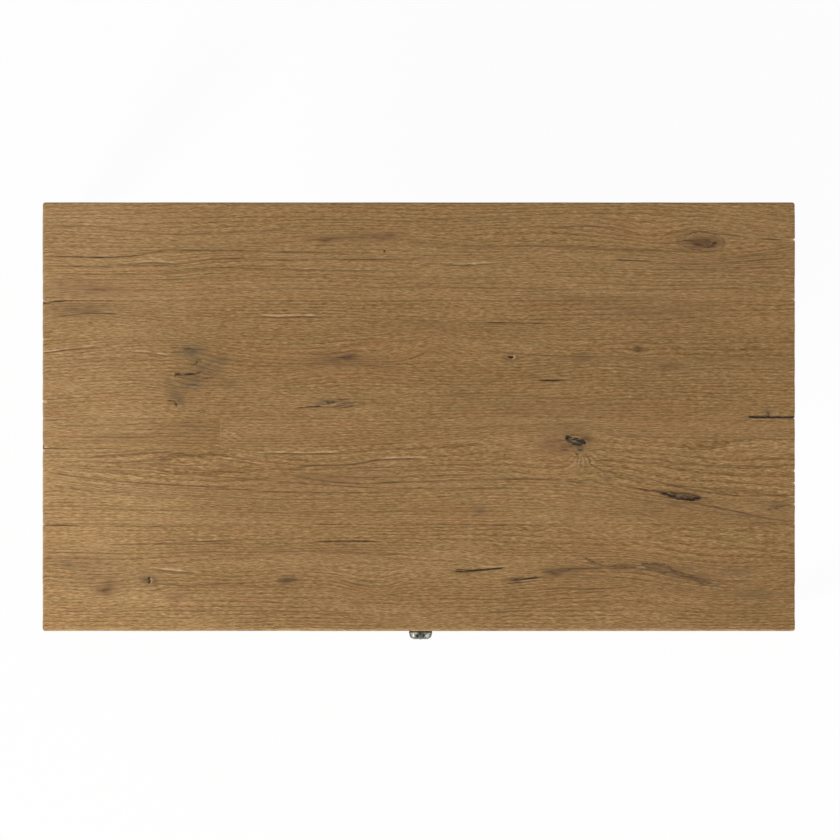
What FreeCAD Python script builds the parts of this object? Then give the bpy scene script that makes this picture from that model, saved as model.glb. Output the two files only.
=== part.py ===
import FreeCAD, Part
import os
import re
import Sketcher

# An oak writing desk with one shallow pencil drawer, made as a joiner makes it.
# X runs to the right, Y to the back and Z up. The origin is on the floor, under the middle
# of the whole desk with its knob. Every length is in millimetres.

sizes = {
    # The plank top: four boards from back to front, and a strip let into the third one
    "topWidth": 1067,
    "boardDepth1": 139,
    "boardDepth2": 167,
    "boardDepth3": 150,
    "boardDepth4": 152,
    "topThickness": 25,
    "boardCorner": 3,
    "boardArris": 1.5,
    "splineWidth": 24,
    "splineThickness": 6,
    "splineStop": 40,
    "stripLength": 252,
    "stripWidth": 42,
    "stripThickness": 9,
    "sideOverhang": 20,
    "frontOverhang": 15,
    "backOverhang": 20,
    # The legs
    "deskHeight": 762,
    "legWidth": 45,
    "footWidth": 28,
    "taperDrop": 30,
    "legChamfer": 1.5,
    "glideRadius": 9,
    "glideHeight": 4,
    "glideNailRadius": 1.5,
    "glideNailLength": 16,
    # The aprons, their tenons and the pegs through them
    "apronHeight": 110,
    "apronThickness": 20,
    "apronReveal": 5,
    "apronArris": 1.5,
    "tenonThickness": 10,
    "tenonShoulder": 12,
    "tenonClearance": 3,
    "pegRadius": 4,
    "pegLength": 26,
    "pegInset": 32,
    # The front: two rails laid flat, two posts and two fixed panels
    "railHeight": 20,
    "frontReveal": 2,
    "railTenonHeight": 10,
    "railTenonShoulder": 8,
    "dovetailHeight": 14,
    "dovetailNeck": 16,
    "dovetailFlare": 4,
    "postWidth": 22,
    "postTenonLength": 8,
    "postTenonThickness": 12,
    "drawerOpening": 560,
    "panelThickness": 16,
    "panelTongue": 6,
    "panelTongueThickness": 6,
    # What the drawer runs on
    "runnerInside": 25,
    "runnerOutside": 18,
    "runnerTenonLength": 8,
    "runnerTenonThickness": 8,
    "guideWidth": 12,
    "guideHeight": 12,
    "stopWidth": 34,
    "stopDepth": 18,
    "stopHeight": 6,
    "stopPlace": 130,
    # The drawer
    "drawerBackGap": 46,
    "drawerSideGap": 1.5,
    "drawerTopGap": 1.7,
    "drawerRunGap": 0.3,
    "drawerFrontThickness": 20,
    "drawerFrontArris": 1,
    "drawerSideThickness": 12,
    "drawerSideDrop": 2,
    "drawerSideArris": 1.5,
    "drawerLap": 6,
    "drawerBackThickness": 12,
    "drawerBackInset": 12,
    "drawerBackDrop": 3,
    "drawerHousing": 4,
    "bottomThickness": 6,
    "bottomRise": 10,
    "bottomGroove": 6,
    "dividerThickness": 8,
    "dividerHeight": 26,
    "dividerPlace": 78,
    # The knob, its back plate and its bolt
    "knobOffset": 2.6,
    "knobRadius": 16.8,
    "knobProjection": 29.5,
    "knobRimThickness": 7.6,
    "knobRimBand": 0.4,
    "knobNeckRadius": 6.5,
    "knobFootRadius": 9,
    "knobFootHeight": 5,
    "petalRing": 9.4,
    "petalReach": 5.4,
    "petalBreadth": 3.7,
    "petalHeight": 4.6,
    "bossRadius": 5,
    "backPlateRadius": 13,
    "backPlateThickness": 2,
    "knobBoltRadius": 2,
    "knobBoltDepth": 10,
    "knobBoltHeadRadius": 4.2,
    "knobBoltHeadHeight": 2.6,
    # What holds the top down: battens, wooden buttons and their screws
    "battenWidth": 60,
    "battenThickness": 20,
    "battenEndGap": 2,
    "buttonWidth": 32,
    "buttonLength": 38,
    "buttonThickness": 18,
    "buttonTongue": 8,
    "buttonTongueThickness": 6,
    "buttonDrop": 9,
    "buttonEndGap": 1,
    "buttonSlack": 1,
    "backButtonPlace": 160,
    "screwRadius": 2,
    "screwHeadRadius": 4,
    "screwHeadHeight": 3,
    "screwTipLength": 5,
    "screwBite": 14,
    "bottomScrewLength": 20,
    "bottomScrewPlace": 190,
}

# Lines and lengths that follow from the sizes, each written with the names above it
lines = {
    "topDepth": "boardDepth1 + boardDepth2 + boardDepth3 + boardDepth4",
    "knobPast": "knobProjection - frontOverhang - frontReveal",
    "backEdge": "(topDepth + knobPast) / 2",
    "frontEdge": "backEdge - topDepth",
    "topUnderside": "deskHeight - topThickness",
    "legSide": "topWidth / 2 - sideOverhang",
    "legFront": "frontEdge + frontOverhang",
    "legBack": "backEdge - backOverhang",
    "bayHalf": "legSide - legWidth",
    "apronLow": "topUnderside - apronHeight",
    "apronInner": "apronReveal + apronThickness",
    "backApronFace": "legBack - apronInner",
    "tenonInset": "(apronThickness - tenonThickness) / 2",
    "tenonLength": "legWidth - apronReveal - tenonInset - tenonThickness - tenonClearance",
    "taperHigh": "apronLow - taperDrop",
    "railFront": "legFront + frontReveal",
    "railDepth": "legWidth - frontReveal",
    "railBack": "railFront + railDepth",
    "openingLow": "apronLow + railHeight",
    "openingHigh": "topUnderside - railHeight",
    "openingHeight": "openingHigh - openingLow",
    "openingHalf": "drawerOpening / 2",
    "panelWidth": "bayHalf - openingHalf - postWidth",
    "runnerLength": "backApronFace - railBack",
    "drawerWidth": "drawerOpening - 2 * drawerSideGap",
    "drawerHalf": "drawerWidth / 2",
    "drawerLow": "openingLow + drawerRunGap",
    "drawerHeight": "openingHeight - drawerRunGap - drawerTopGap",
    "drawerFrontBack": "railFront + drawerFrontThickness",
    "drawerBackEnd": "backApronFace - drawerBackGap",
    "drawerSideHeight": "drawerHeight - drawerSideDrop",
    "tailLength": "drawerFrontThickness - drawerLap",
    "drawerInnerHalf": "drawerHalf - drawerSideThickness",
    "bottomLow": "drawerLow + bottomRise",
    "bottomHigh": "bottomLow + bottomThickness",
    "drawerBackFace": "drawerBackEnd - drawerBackInset - drawerBackThickness",
    "knobHeight": "drawerLow + drawerHeight / 2",
    "petalSeat": "knobProjection - bossRadius / 4 - petalHeight",
    "rimHigh": "petalSeat + petalHeight / 4",
    "rimLow": "rimHigh - knobRimThickness",
    "knobRimRounding": "(knobRimThickness - knobRimBand) / 2",
    "neckLow": "backPlateThickness + knobFootHeight",
    "kickerOutside": "openingHalf + runnerOutside",
    "battenPlace": "(kickerOutside + legSide - apronInner - buttonLength) / 2",
    "frontButtonPlace": "frontEdge + boardDepth4 + boardDepth3 / 4",
    "rearButtonPlace": "backEdge - boardDepth1 - boardDepth2 / 4",
    "buttonGrooveDepth": "buttonTongue + buttonEndGap",
    "buttonGrooveHeight": "buttonTongueThickness + buttonSlack",
    "splineMiddle": "topUnderside + (topThickness - stripThickness) / 2",
}

tailCount = 2
tailEndShare = 0.36
tailNeckShare = 0.27
petalCount = 8

os.makedirs("parts", exist_ok=True)
document = FreeCAD.newDocument("desk")
sheet = document.addObject("Spreadsheet::Sheet", "sizes")
for row, (alias, value) in enumerate(sizes.items(), start=1):
    sheet.set(f"A{row}", alias)
    sheet.set(f"B{row}", str(value))
    sheet.setAlias(f"B{row}", alias)
document.recompute()

nodes = {}


def formula(text):
    # Spells a named line out until only cells of the sheet are left
    def spell(word):
        name = word.group()
        return f"({formula(lines[name])})" if name in lines else f"sizes.{name}"
    return re.sub(r"[A-Za-z]\w*", spell, str(text))


def bind(thing, target, text):
    thing.setExpression(target, formula(text))


def value(text):
    return float(sheet.evalExpression(formula(text)))


def bindAll(thing, targets, texts):
    for target, text in zip(targets, texts):
        bind(thing, target, text)


def place(thing, corner, turn=(0, 0, 0)):
    thing.Placement = FreeCAD.Placement(FreeCAD.Vector(), FreeCAD.Rotation(*turn))
    bindAll(thing, ("Placement.Base.x", "Placement.Base.y", "Placement.Base.z"), corner)


def newBody(name, corner, turn=(0, 0, 0)):
    body = document.addObject("PartDesign::Body", name)
    place(body, corner, turn)
    return body


def addBox(body, name, size, corner=(0, 0, 0), kind="Additive"):
    box = body.newObject(f"PartDesign::{kind}Box", name)
    bindAll(box, ("Length", "Width", "Height"), size)
    bindAll(box, ("Placement.Base.x", "Placement.Base.y", "Placement.Base.z"), corner)
    return box


def addRod(body, name, radius, length, low=0):
    rod = body.newObject("PartDesign::AdditiveCylinder", name)
    bindAll(rod, ("Radius", "Height", "Placement.Base.z"), (radius, length, low))
    return rod


def addCone(body, name, lowRadius, highRadius, length, low=0):
    cone = body.newObject("PartDesign::AdditiveCone", name)
    texts = (lowRadius, highRadius, length, low)
    bindAll(cone, ("Radius1", "Radius2", "Height", "Placement.Base.z"), texts)
    return cone


def board(name, size, corner):
    # A squared board, placed by its lowest corner
    body = newBody(name, corner)
    addBox(body, name + "_stock", size)
    return body


def addSketch(body, name, role, points, lift=0):
    # A closed outline through the points, on one of the body's planes
    sketch = body.newObject("Sketcher::SketchObject", name + "_outline")
    plane = [item for item in body.Origin.OriginFeatures if item.Role == role][0]
    sketch.AttachmentSupport = [(plane, "")]
    sketch.MapMode = "FlatFace"
    bind(sketch, "AttachmentOffset.Base.z", lift)
    corners = [FreeCAD.Vector(value(across), value(up), 0) for across, up in points]
    for start, end in zip(corners, corners[1:] + corners[:1]):
        sketch.addGeometry(Part.LineSegment(start, end), False)
    for edge, (across, up) in enumerate(points):
        following = (edge + 1) % len(points)
        sketch.addConstraint(Sketcher.Constraint("Coincident", edge, 2, following, 1))
        for kind, text, now in zip(("DistanceX", "DistanceY"), (across, up), corners[edge]):
            row = sketch.addConstraint(Sketcher.Constraint(kind, -1, 1, edge, 1, now))
            bind(sketch, f"Constraints[{row}]", text)
    return sketch


def addPad(body, name, sketch, length):
    pad = body.newObject("PartDesign::Pad", name)
    pad.Profile = sketch
    bind(pad, "Length", length)
    return pad


def easeEdges(body, name, kind, size, chosen):
    # Rounds or bevels the edges of the body so far that the test picks
    for item in body.Group:
        item.recompute()
    feature = body.newObject(f"PartDesign::{kind}", name)
    before = feature.BaseFeature
    names = [f"Edge{n}" for n, edge in enumerate(before.Shape.Edges, start=1) if chosen(edge)]
    feature.Base = (before, names)
    bind(feature, "Radius" if kind == "Fillet" else "Size", size)
    return feature


def isUpright(edge):
    low, high = edge.BoundBox.ZMin, edge.BoundBox.ZMax
    return high - low > edge.Length * 0.9


def isAtHeight(height):
    return lambda edge: abs(edge.BoundBox.ZMin - value(height)) + edge.BoundBox.ZLength < 1e-6


def isLongAtHeight(height):
    # A straight edge that runs along the piece at the height, and isn't one of a tenon's
    return lambda edge: isAtHeight(height)(edge) and edge.Length > value("apronHeight") * 2


def isOuterArris(number):
    # The upper edges of a board at its ends, and along the back or front of the whole top
    isUpper = isAtHeight("topThickness")

    def isChosen(edge):
        across = edge.BoundBox.XLength > value("topWidth") / 2
        atBack = number == 1 and edge.BoundBox.YMin > value("boardDepth1") / 2
        atFront = number == 4 and edge.BoundBox.YMax < value("boardDepth4") / 2
        return isUpper(edge) and (not across or atBack or atFront)
    return isChosen


def cut(name, base, tools):
    # The base with every tool's own shape taken out of it, so that what goes in fits
    gathered = tools[0] if len(tools) == 1 else group(name + "_tools", tools)
    result = document.addObject("Part::Cut", name + "_cut")
    result.Base = base
    result.Tool = gathered
    return result


def group(name, members):
    gathered = document.addObject("Part::Compound", name)
    gathered.Links = members
    return gathered


def keep(node, thing):
    thing.Label = node
    nodes[node] = thing


def onSide(side, near, far):
    # The lowest X of a piece that lies from near to far out on one side of the middle
    return near if side == "right" else f"-({far})"


def sign(side):
    return "1" if side == "right" else "-1"


def woodScrew(name, length, corner, turn=(0, 0, 0)):
    # A countersunk screw that points up from its head, with a plain shank and a point
    body = newBody(name, corner, turn)
    addRod(body, name + "_shank", "screwRadius", f"{length} - screwTipLength")
    addCone(body, name + "_head", "screwHeadRadius", "screwRadius", "screwHeadHeight")
    tipLow = f"{length} - screwTipLength"
    addCone(body, name + "_tip", "screwRadius", "screwRadius / 8", "screwTipLength", tipLow)
    return body


def makePegs():
    # Two pegs through each apron tenon, driven in from the outer face of the leg
    pegs = {}
    heights = {"low": "apronLow + pegInset", "high": "topUnderside - pegInset"}
    for end in ("front", "back"):
        for side in ("left", "right"):
            for level, height in heights.items():
                name = f"peg_{end}_{side}_{level}"
                leg = "legFront + legWidth" if end == "front" else "legBack - legWidth"
                inwards = "-" if end == "front" else "+"
                across = f"{sign(side)} * legSide"
                along = f"{leg} {inwards} tenonLength / 2"
                turn = (0, 90, 0) if side == "left" else (0, -90, 0)
                body = newBody(name, (across, along, height), turn)
                addRod(body, name + "_rod", "pegRadius", "pegLength")
                pegs[end, side, "side", level] = body
    for side in ("left", "right"):
        for level, height in heights.items():
            name = f"peg_rear_{side}_{level}"
            across = f"{sign(side)} * (bayHalf + tenonLength / 2)"
            body = newBody(name, (across, "legBack", height), (0, 0, 90))
            addRod(body, name + "_rod", "pegRadius", "pegLength")
            pegs["back", side, "rear", level] = body
    keep("tenon_pegs", group("pegs", list(pegs.values())))
    return pegs


def makeAprons(pegs, runners):
    # Each apron has a tenon at both ends and a groove inside for the buttons of the top
    aprons = {}
    tenonHeight = "apronHeight - 2 * tenonShoulder"
    grooveLow = "apronHeight - buttonDrop - buttonGrooveHeight"
    for side in ("left", "right"):
        name = f"apron_{side}"
        length = "legBack - legFront - 2 * legWidth"
        low = onSide(side, "legSide - apronInner", "legSide - apronReveal")
        body = board(name, ("apronThickness", length, "apronHeight"),
                     (low, "legFront + legWidth", "apronLow"))
        for end, start in (("front", "-tenonLength"), ("back", length)):
            addBox(body, f"{name}_tenon_{end}", ("tenonThickness", "tenonLength", tenonHeight),
                   ("tenonInset", start, "tenonShoulder"))
        easeEdges(body, name + "_arris", "Fillet", "apronArris", isLongAtHeight("0"))
        groove = "apronThickness - buttonGrooveDepth" if side == "left" else "0"
        addBox(body, name + "_groove", ("buttonGrooveDepth", length, "buttonGrooveHeight"),
               (groove, "0", grooveLow), "Subtractive")
        through = [peg for key, peg in pegs.items() if key[1] == side and key[2] == "side"]
        aprons[side] = cut(name, body, through)
        keep(name, aprons[side])
    length = "2 * bayHalf"
    body = board("apron_back", (length, "apronThickness", "apronHeight"),
                 ("-bayHalf", "backApronFace", "apronLow"))
    for end, start in (("left", "-tenonLength"), ("right", length)):
        addBox(body, f"apron_back_tenon_{end}", ("tenonLength", "tenonThickness", tenonHeight),
               (start, "tenonInset", "tenonShoulder"))
    easeEdges(body, "apron_back_arris", "Fillet", "apronArris", isLongAtHeight("0"))
    addBox(body, "apron_back_groove", (length, "buttonGrooveDepth", "buttonGrooveHeight"),
           ("0", "0", grooveLow), "Subtractive")
    through = [peg for key, peg in pegs.items() if key[2] == "rear"]
    aprons["back"] = cut("apron_back", body, through + list(runners.values()))
    keep("apron_back", aprons["back"])
    return aprons


def makePanels():
    # A fixed front on each side of the drawer, with a tongue all round
    panels = {}
    size = ("panelWidth", "panelThickness", "openingHeight")
    tongueSize = ("panelWidth + 2 * panelTongue", "panelTongueThickness",
                  "openingHeight + 2 * panelTongue")
    for side in ("left", "right"):
        name = f"front_panel_{side}"
        corner = (onSide(side, "openingHalf + postWidth", "bayHalf"), "railFront", "openingLow")
        body = board(name, size, corner)
        tongueBack = "(panelThickness - panelTongueThickness) / 2"
        addBox(body, name + "_tongue", tongueSize, ("-panelTongue", tongueBack, "-panelTongue"))
        panels[side] = body
        keep(name, body)
    return panels


def makePosts(panels):
    # The posts beside the drawer, tenoned into both rails
    posts = {}
    for side in ("left", "right"):
        name = f"drawer_post_{side}"
        low = onSide(side, "openingHalf", "openingHalf + postWidth")
        body = board(name, ("postWidth", "railDepth", "openingHeight"),
                     (low, "railFront", "openingLow"))
        tall = "openingHeight + 2 * postTenonLength"
        wide = "postWidth - panelTongue - (postWidth - postTenonThickness) / 2"
        start = "panelTongue" if side == "left" else "(postWidth - postTenonThickness) / 2"
        deep = "(railDepth - panelThickness) / 2"
        addBox(body, name + "_tenon", (wide, deep, tall), (start, "panelThickness",
                                                           "-postTenonLength"))
        posts[side] = cut(name, body, [panels[side]])
        keep(name, posts[side])
    return posts


def makeRunners():
    # Below the drawer a runner with a guide on it, above it a kicker, on each side
    runners = {}
    size = ("runnerInside + runnerOutside", "runnerLength", "railHeight")
    tenonLow = "(railHeight - runnerTenonThickness) / 2"
    tenonSize = ("runnerInside", "runnerLength + 2 * runnerTenonLength", "runnerTenonThickness")
    for side in ("left", "right"):
        low = onSide(side, "openingHalf - runnerInside", "openingHalf + runnerOutside")
        for kind, height in (("runner", "apronLow"), ("kicker", "openingHigh")):
            name = f"drawer_{kind}_{side}"
            body = board(name, size, (low, "railBack", height))
            addBox(body, name + "_tenon", tenonSize,
                   ("runnerOutside / 2", "-runnerTenonLength", tenonLow))
            runners[side, kind] = body
            keep(name, body)
        name = f"drawer_guide_{side}"
        low = onSide(side, "openingHalf", "openingHalf + guideWidth")
        keep(name, board(name, ("guideWidth", "runnerLength", "guideHeight"),
                         (low, "railBack", "openingLow")))
    stops = []
    for side in ("left", "right"):
        low = onSide(side, "stopPlace", "stopPlace + stopWidth")
        stops.append(board(f"stop_{side}", ("stopWidth", "stopDepth", "stopHeight"),
                           (low, "drawerFrontBack + drawerRunGap", "openingLow")))
    keep("drawer_stops", group("stops", stops))
    return runners


def makeRails(panels, posts, runners):
    # The upper rail is dovetailed into the tops of the legs, the lower one tenoned
    corner = ("-bayHalf", "railFront", "openingHigh")
    upper = board("rail_upper", ("2 * bayHalf", "railDepth", "railHeight"), corner)
    middle = "railDepth / 2"
    neck = "dovetailNeck / 2"
    flared = "(dovetailNeck / 2 + dovetailFlare)"
    for end, root, tip in (("left", "0", "-tenonLength"),
                           ("right", "2 * bayHalf", "2 * bayHalf + tenonLength")):
        points = [(root, f"{middle} - {neck}"), (tip, f"{middle} - {flared}"),
                  (tip, f"{middle} + {flared}"), (root, f"{middle} + {neck}")]
        name = f"rail_upper_dovetail_{end}"
        sketch = addSketch(upper, name, "XY_Plane", points, "railHeight - dovetailHeight")
        addPad(upper, name, sketch, "dovetailHeight")
    lower = board("rail_lower", ("2 * bayHalf", "railDepth", "railHeight"),
                  ("-bayHalf", "railFront", "apronLow"))
    addBox(lower, "rail_lower_tenon",
           ("2 * bayHalf + 2 * tenonLength", "railDepth - 2 * railTenonShoulder",
            "railTenonHeight"),
           ("-tenonLength", "railTenonShoulder", "(railHeight - railTenonHeight) / 2"))
    easeEdges(lower, "rail_lower_arris", "Fillet", "apronArris", isLongAtHeight("0"))
    rails = {}
    let = {"upper": "kicker", "lower": "runner"}
    for level, stock in (("upper", upper), ("lower", lower)):
        name = f"front_rail_{level}"
        tools = list(panels.values()) + list(posts.values())
        tools += [runners[side, let[level]] for side in ("left", "right")]
        if level == "upper":
            tools += makeRailScrews()
        rails[level] = cut(name, stock, tools)
        keep(name, rails[level])
    return rails


def makeRailScrews():
    # Three screws up through the upper rail into the front board
    screws = []
    for index, share in enumerate((-0.5, 0, 0.5)):
        corner = (f"{share} * drawerOpening", "railFront + railDepth / 2", "openingHigh")
        screws.append(woodScrew(f"rail_screw_{index}", "(railHeight + screwBite)", corner))
    keep("rail_screws", group("railScrews", screws))
    return screws


def bevelledSquare(across, along, width, bevel):
    # The eight corners of a square with its four corners cut off
    near = ("0", bevel, f"{width} - {bevel}", width)
    order = ((1, 0), (2, 0), (3, 1), (3, 2), (2, 3), (1, 3), (0, 2), (0, 1))
    return [(f"{across} + {near[i]}", f"{along} + {near[j]}") for i, j in order]


def makeLegs(aprons, rails, panels, pegs):
    # Square at the head and tapered on the two inner faces down to the foot
    glides = []
    for end in ("front", "back"):
        for side in ("left", "right"):
            name = f"leg_{end}_{side}"
            corner = (onSide(side, "bayHalf", "legSide"),
                      "legFront" if end == "front" else "legBack - legWidth", "0")
            body = newBody(name, corner)
            footAcross = "legWidth - footWidth" if side == "right" else "0"
            footAlong = "0" if end == "front" else "legWidth - footWidth"
            foot = bevelledSquare(footAcross, footAlong, "footWidth", "legChamfer")
            full = bevelledSquare("0", "0", "legWidth", "legChamfer")
            low = addSketch(body, name + "_foot", "XY_Plane", foot, "glideHeight")
            high = addSketch(body, name + "_knee", "XY_Plane", full, "taperHigh")
            taper = body.newObject("PartDesign::AdditiveLoft", name + "_taper")
            taper.Profile = low
            taper.Sections = [high]
            taper.Ruled = True
            head = addSketch(body, name + "_head", "XY_Plane", full, "taperHigh")
            addPad(body, name + "_head_block", head, "topUnderside - taperHigh")
            tools = [aprons[side]] + [peg for key, peg in pegs.items()
                                      if key[:2] == (end, side)]
            tools += [aprons["back"]] if end == "back" else [*rails.values(), panels[side]]
            glide = makeGlide(f"glide_{end}_{side}", end, side)
            glides.append(glide)
            keep(name, cut(name, body, tools + [glide]))
    keep("foot_glides", group("glides", glides))


def makeGlide(name, end, side):
    # A round metal glide with its nail, under the middle of the foot
    across = f"{sign(side)} * (legSide - footWidth / 2)"
    along = "legFront + footWidth / 2" if end == "front" else "legBack - footWidth / 2"
    glide = newBody(name, (across, along, "0"))
    half = "glideHeight / 2"
    addCone(glide, name + "_dish", "glideRadius * 0.8", "glideRadius", half)
    addRod(glide, name + "_disc", "glideRadius", half, half)
    addRod(glide, name + "_nail", "glideNailRadius", "glideNailLength", "glideHeight")
    return glide


def makeButtons():
    # Wooden buttons: a block screwed to the top, its tongue in the groove of the apron
    spots = []
    for side in ("left", "right"):
        for along in ("frontButtonPlace", "rearButtonPlace"):
            spots.append((f"{sign(side)} * (legSide - apronInner)", along, side))
    for way in ("-1", "0", "1"):
        spots.append((f"{way} * backButtonPlace", "backApronFace", "back"))
    turns = {"left": 180, "right": 0, "back": 90}
    buttons = []
    screws = []
    for index, (across, along, wall) in enumerate(spots):
        turn = (turns[wall], 0, 0)
        name = f"button_{index}"
        low = "topUnderside - buttonThickness"
        body = newBody(name, (across, along, low), turn)
        addBox(body, name + "_block", ("buttonLength", "buttonWidth", "buttonThickness"),
               ("-buttonLength", "-buttonWidth / 2", "0"))
        tongueLow = "buttonThickness - buttonDrop - buttonTongueThickness"
        addBox(body, name + "_tongue", ("buttonTongue", "buttonWidth", "buttonTongueThickness"),
               ("0", "-buttonWidth / 2", tongueLow))
        reach = "buttonLength / 2"
        spot = {"left": (f"{across} + {reach}", along), "right": (f"{across} - {reach}", along),
                "back": (across, f"{along} - {reach}")}[wall]
        screw = woodScrew(f"button_screw_{index}", "(buttonThickness + screwBite)",
                          (*spot, low))
        screws.append(screw)
        buttons.append(cut(name, body, [screw]))
    keep("top_buttons", group("buttons", buttons))
    keep("button_screws", group("buttonScrews", screws))
    return screws


def makeBattens():
    # Two battens across the boards, with one screw into each board
    screws = {}
    middles = {1: "backEdge - boardDepth1 / 2 - backOverhang / 2",
               2: "backEdge - boardDepth1 - boardDepth2 / 2",
               3: "frontEdge + boardDepth4 + boardDepth3 / 2",
               4: "frontEdge + boardDepth4 / 2 + frontOverhang"}
    for side in ("left", "right"):
        name = f"top_batten_{side}"
        low = onSide(side, "battenPlace - battenWidth / 2", "battenPlace + battenWidth / 2")
        length = "runnerLength - 2 * battenEndGap"
        body = board(name, ("battenWidth", length, "battenThickness"),
                     (low, "railBack + battenEndGap", "topUnderside - battenThickness"))
        own = []
        for number, along in middles.items():
            corner = (f"{sign(side)} * battenPlace", along, "topUnderside - battenThickness")
            own.append(woodScrew(f"batten_screw_{side}_{number}",
                                 "(battenThickness + screwBite)", corner))
        screws[side] = own
        keep(name, cut(name, body, own))
    keep("batten_screws", group("battenScrews", screws["left"] + screws["right"]))
    return screws["left"] + screws["right"]


def makeTop(screws):
    # Four boards, three loose tongues between them and the strip let into the third board
    stocks = {}
    edges = {}
    low = "backEdge"
    for number in (1, 2, 3, 4):
        name = f"top_board_{number}"
        low = f"{low} - boardDepth{number}"
        edges[number] = low
        size = ("topWidth", f"boardDepth{number}", "topThickness")
        body = board(name, size, ("-topWidth / 2", low, "topUnderside"))
        easeEdges(body, name + "_corners", "Fillet", "boardCorner", isUpright)
        easeEdges(body, name + "_arris", "Fillet", "boardArris", isOuterArris(number))
        stocks[number] = body
    splines = {}
    for number in (1, 2, 3):
        name = f"board_spline_{number}"
        corner = ("splineStop - topWidth / 2", f"{edges[number]} - splineWidth / 2",
                  "splineMiddle - splineThickness / 2")
        size = ("topWidth - 2 * splineStop", "splineWidth", "splineThickness")
        splines[number] = board(name, size, corner)
        keep(name, splines[number])
    strip = board("let_in_strip", ("stripLength", "stripWidth", "stripThickness"),
                  ("-topWidth / 2", f"{edges[2]} - stripWidth",
                   "deskHeight - stripThickness"))
    keep("let_in_strip", strip)
    for number, stock in stocks.items():
        tools = [splines[near] for near in (number - 1, number) if near in splines]
        tools += [strip] if number == 3 else []
        keep(f"top_board_{number}", cut(f"top_board_{number}", stock, tools + screws))


def makeDrawer():
    # Dovetailed at the front, the back housed, the bottom slid into grooves
    bottom = makeDrawerBottom()
    back = makeCrossPiece("drawer_back", "drawerBackFace", "drawerBackThickness",
                          "drawerSideHeight - drawerBackDrop - bottomRise - bottomThickness")
    divider = makeCrossPiece("pencil_divider", "drawerFrontBack + dividerPlace",
                             "dividerThickness", "dividerHeight")
    screws = makeBottomScrews()
    front = board("drawer_front", ("drawerWidth", "drawerFrontThickness", "drawerHeight"),
                  ("-drawerHalf", "railFront", "drawerLow"))
    easeEdges(front, "drawer_front_arris", "Fillet", "drawerFrontArris",
              lambda edge: edge.BoundBox.YMax < value("drawerFrontThickness") / 2)
    bolt = makeKnob()
    for side in ("left", "right"):
        name = f"drawer_side_{side}"
        keep(name, cut(name, makeDrawerSide(side), [bottom, back, divider]))
    joined = [nodes["drawer_side_left"], nodes["drawer_side_right"], bottom, bolt]
    keep("drawer_front", cut("drawer_front", front, joined))
    keep("drawer_back", cut("drawer_back", back, screws))
    keep("drawer_bottom", cut("drawer_bottom", bottom, screws))
    keep("pencil_divider", divider)
    keep("drawer_bottom_screws", group("bottomScrews", screws))


def makeDrawerBottom():
    size = ("2 * (drawerInnerHalf + bottomGroove)",
            "drawerBackEnd - drawerBackInset - drawerFrontBack + bottomGroove",
            "bottomThickness")
    corner = ("-(drawerInnerHalf + bottomGroove)", "drawerFrontBack - bottomGroove", "bottomLow")
    return board("drawer_bottom", size, corner)


def makeDrawerSide(side):
    # Tails that flare towards the end go into the front; the rest is a plain board
    name = f"drawer_side_{side}"
    low = onSide(side, "drawerInnerHalf", "drawerHalf")
    body = newBody(name, (low, "drawerFrontBack - tailLength", "drawerLow"))
    length = "drawerBackEnd - drawerFrontBack + tailLength"
    points = [("tailLength", "0")]
    for index in range(tailCount):
        middle = (index + 0.5) / tailCount
        for depth, share in (("tailLength", -tailNeckShare), ("0", -tailEndShare),
                             ("0", tailEndShare), ("tailLength", tailNeckShare)):
            points.append((depth, f"{middle + share / tailCount} * drawerSideHeight"))
    points += [("tailLength", "drawerSideHeight"), (length, "drawerSideHeight"), (length, "0")]
    sketch = addSketch(body, name + "_tails", "YZ_Plane", points)
    addPad(body, name + "_board", sketch, "drawerSideThickness")
    easeEdges(body, name + "_arris", "Fillet", "drawerSideArris",
              isLongAtHeight("drawerSideHeight"))
    return body


def makeCrossPiece(name, along, thickness, height):
    # A board across the drawer, on its bottom and let into both sides
    size = ("2 * (drawerInnerHalf + drawerHousing)", thickness, height)
    return board(name, size, ("-(drawerInnerHalf + drawerHousing)", along, "bottomHigh"))


def makeBottomScrews():
    screws = []
    for index, way in enumerate(("-1", "0", "1")):
        corner = (f"{way} * bottomScrewPlace", "drawerBackFace + drawerBackThickness / 2",
                  "bottomLow")
        screws.append(woodScrew(f"bottom_screw_{index}", "bottomScrewLength", corner))
    return screws


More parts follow.
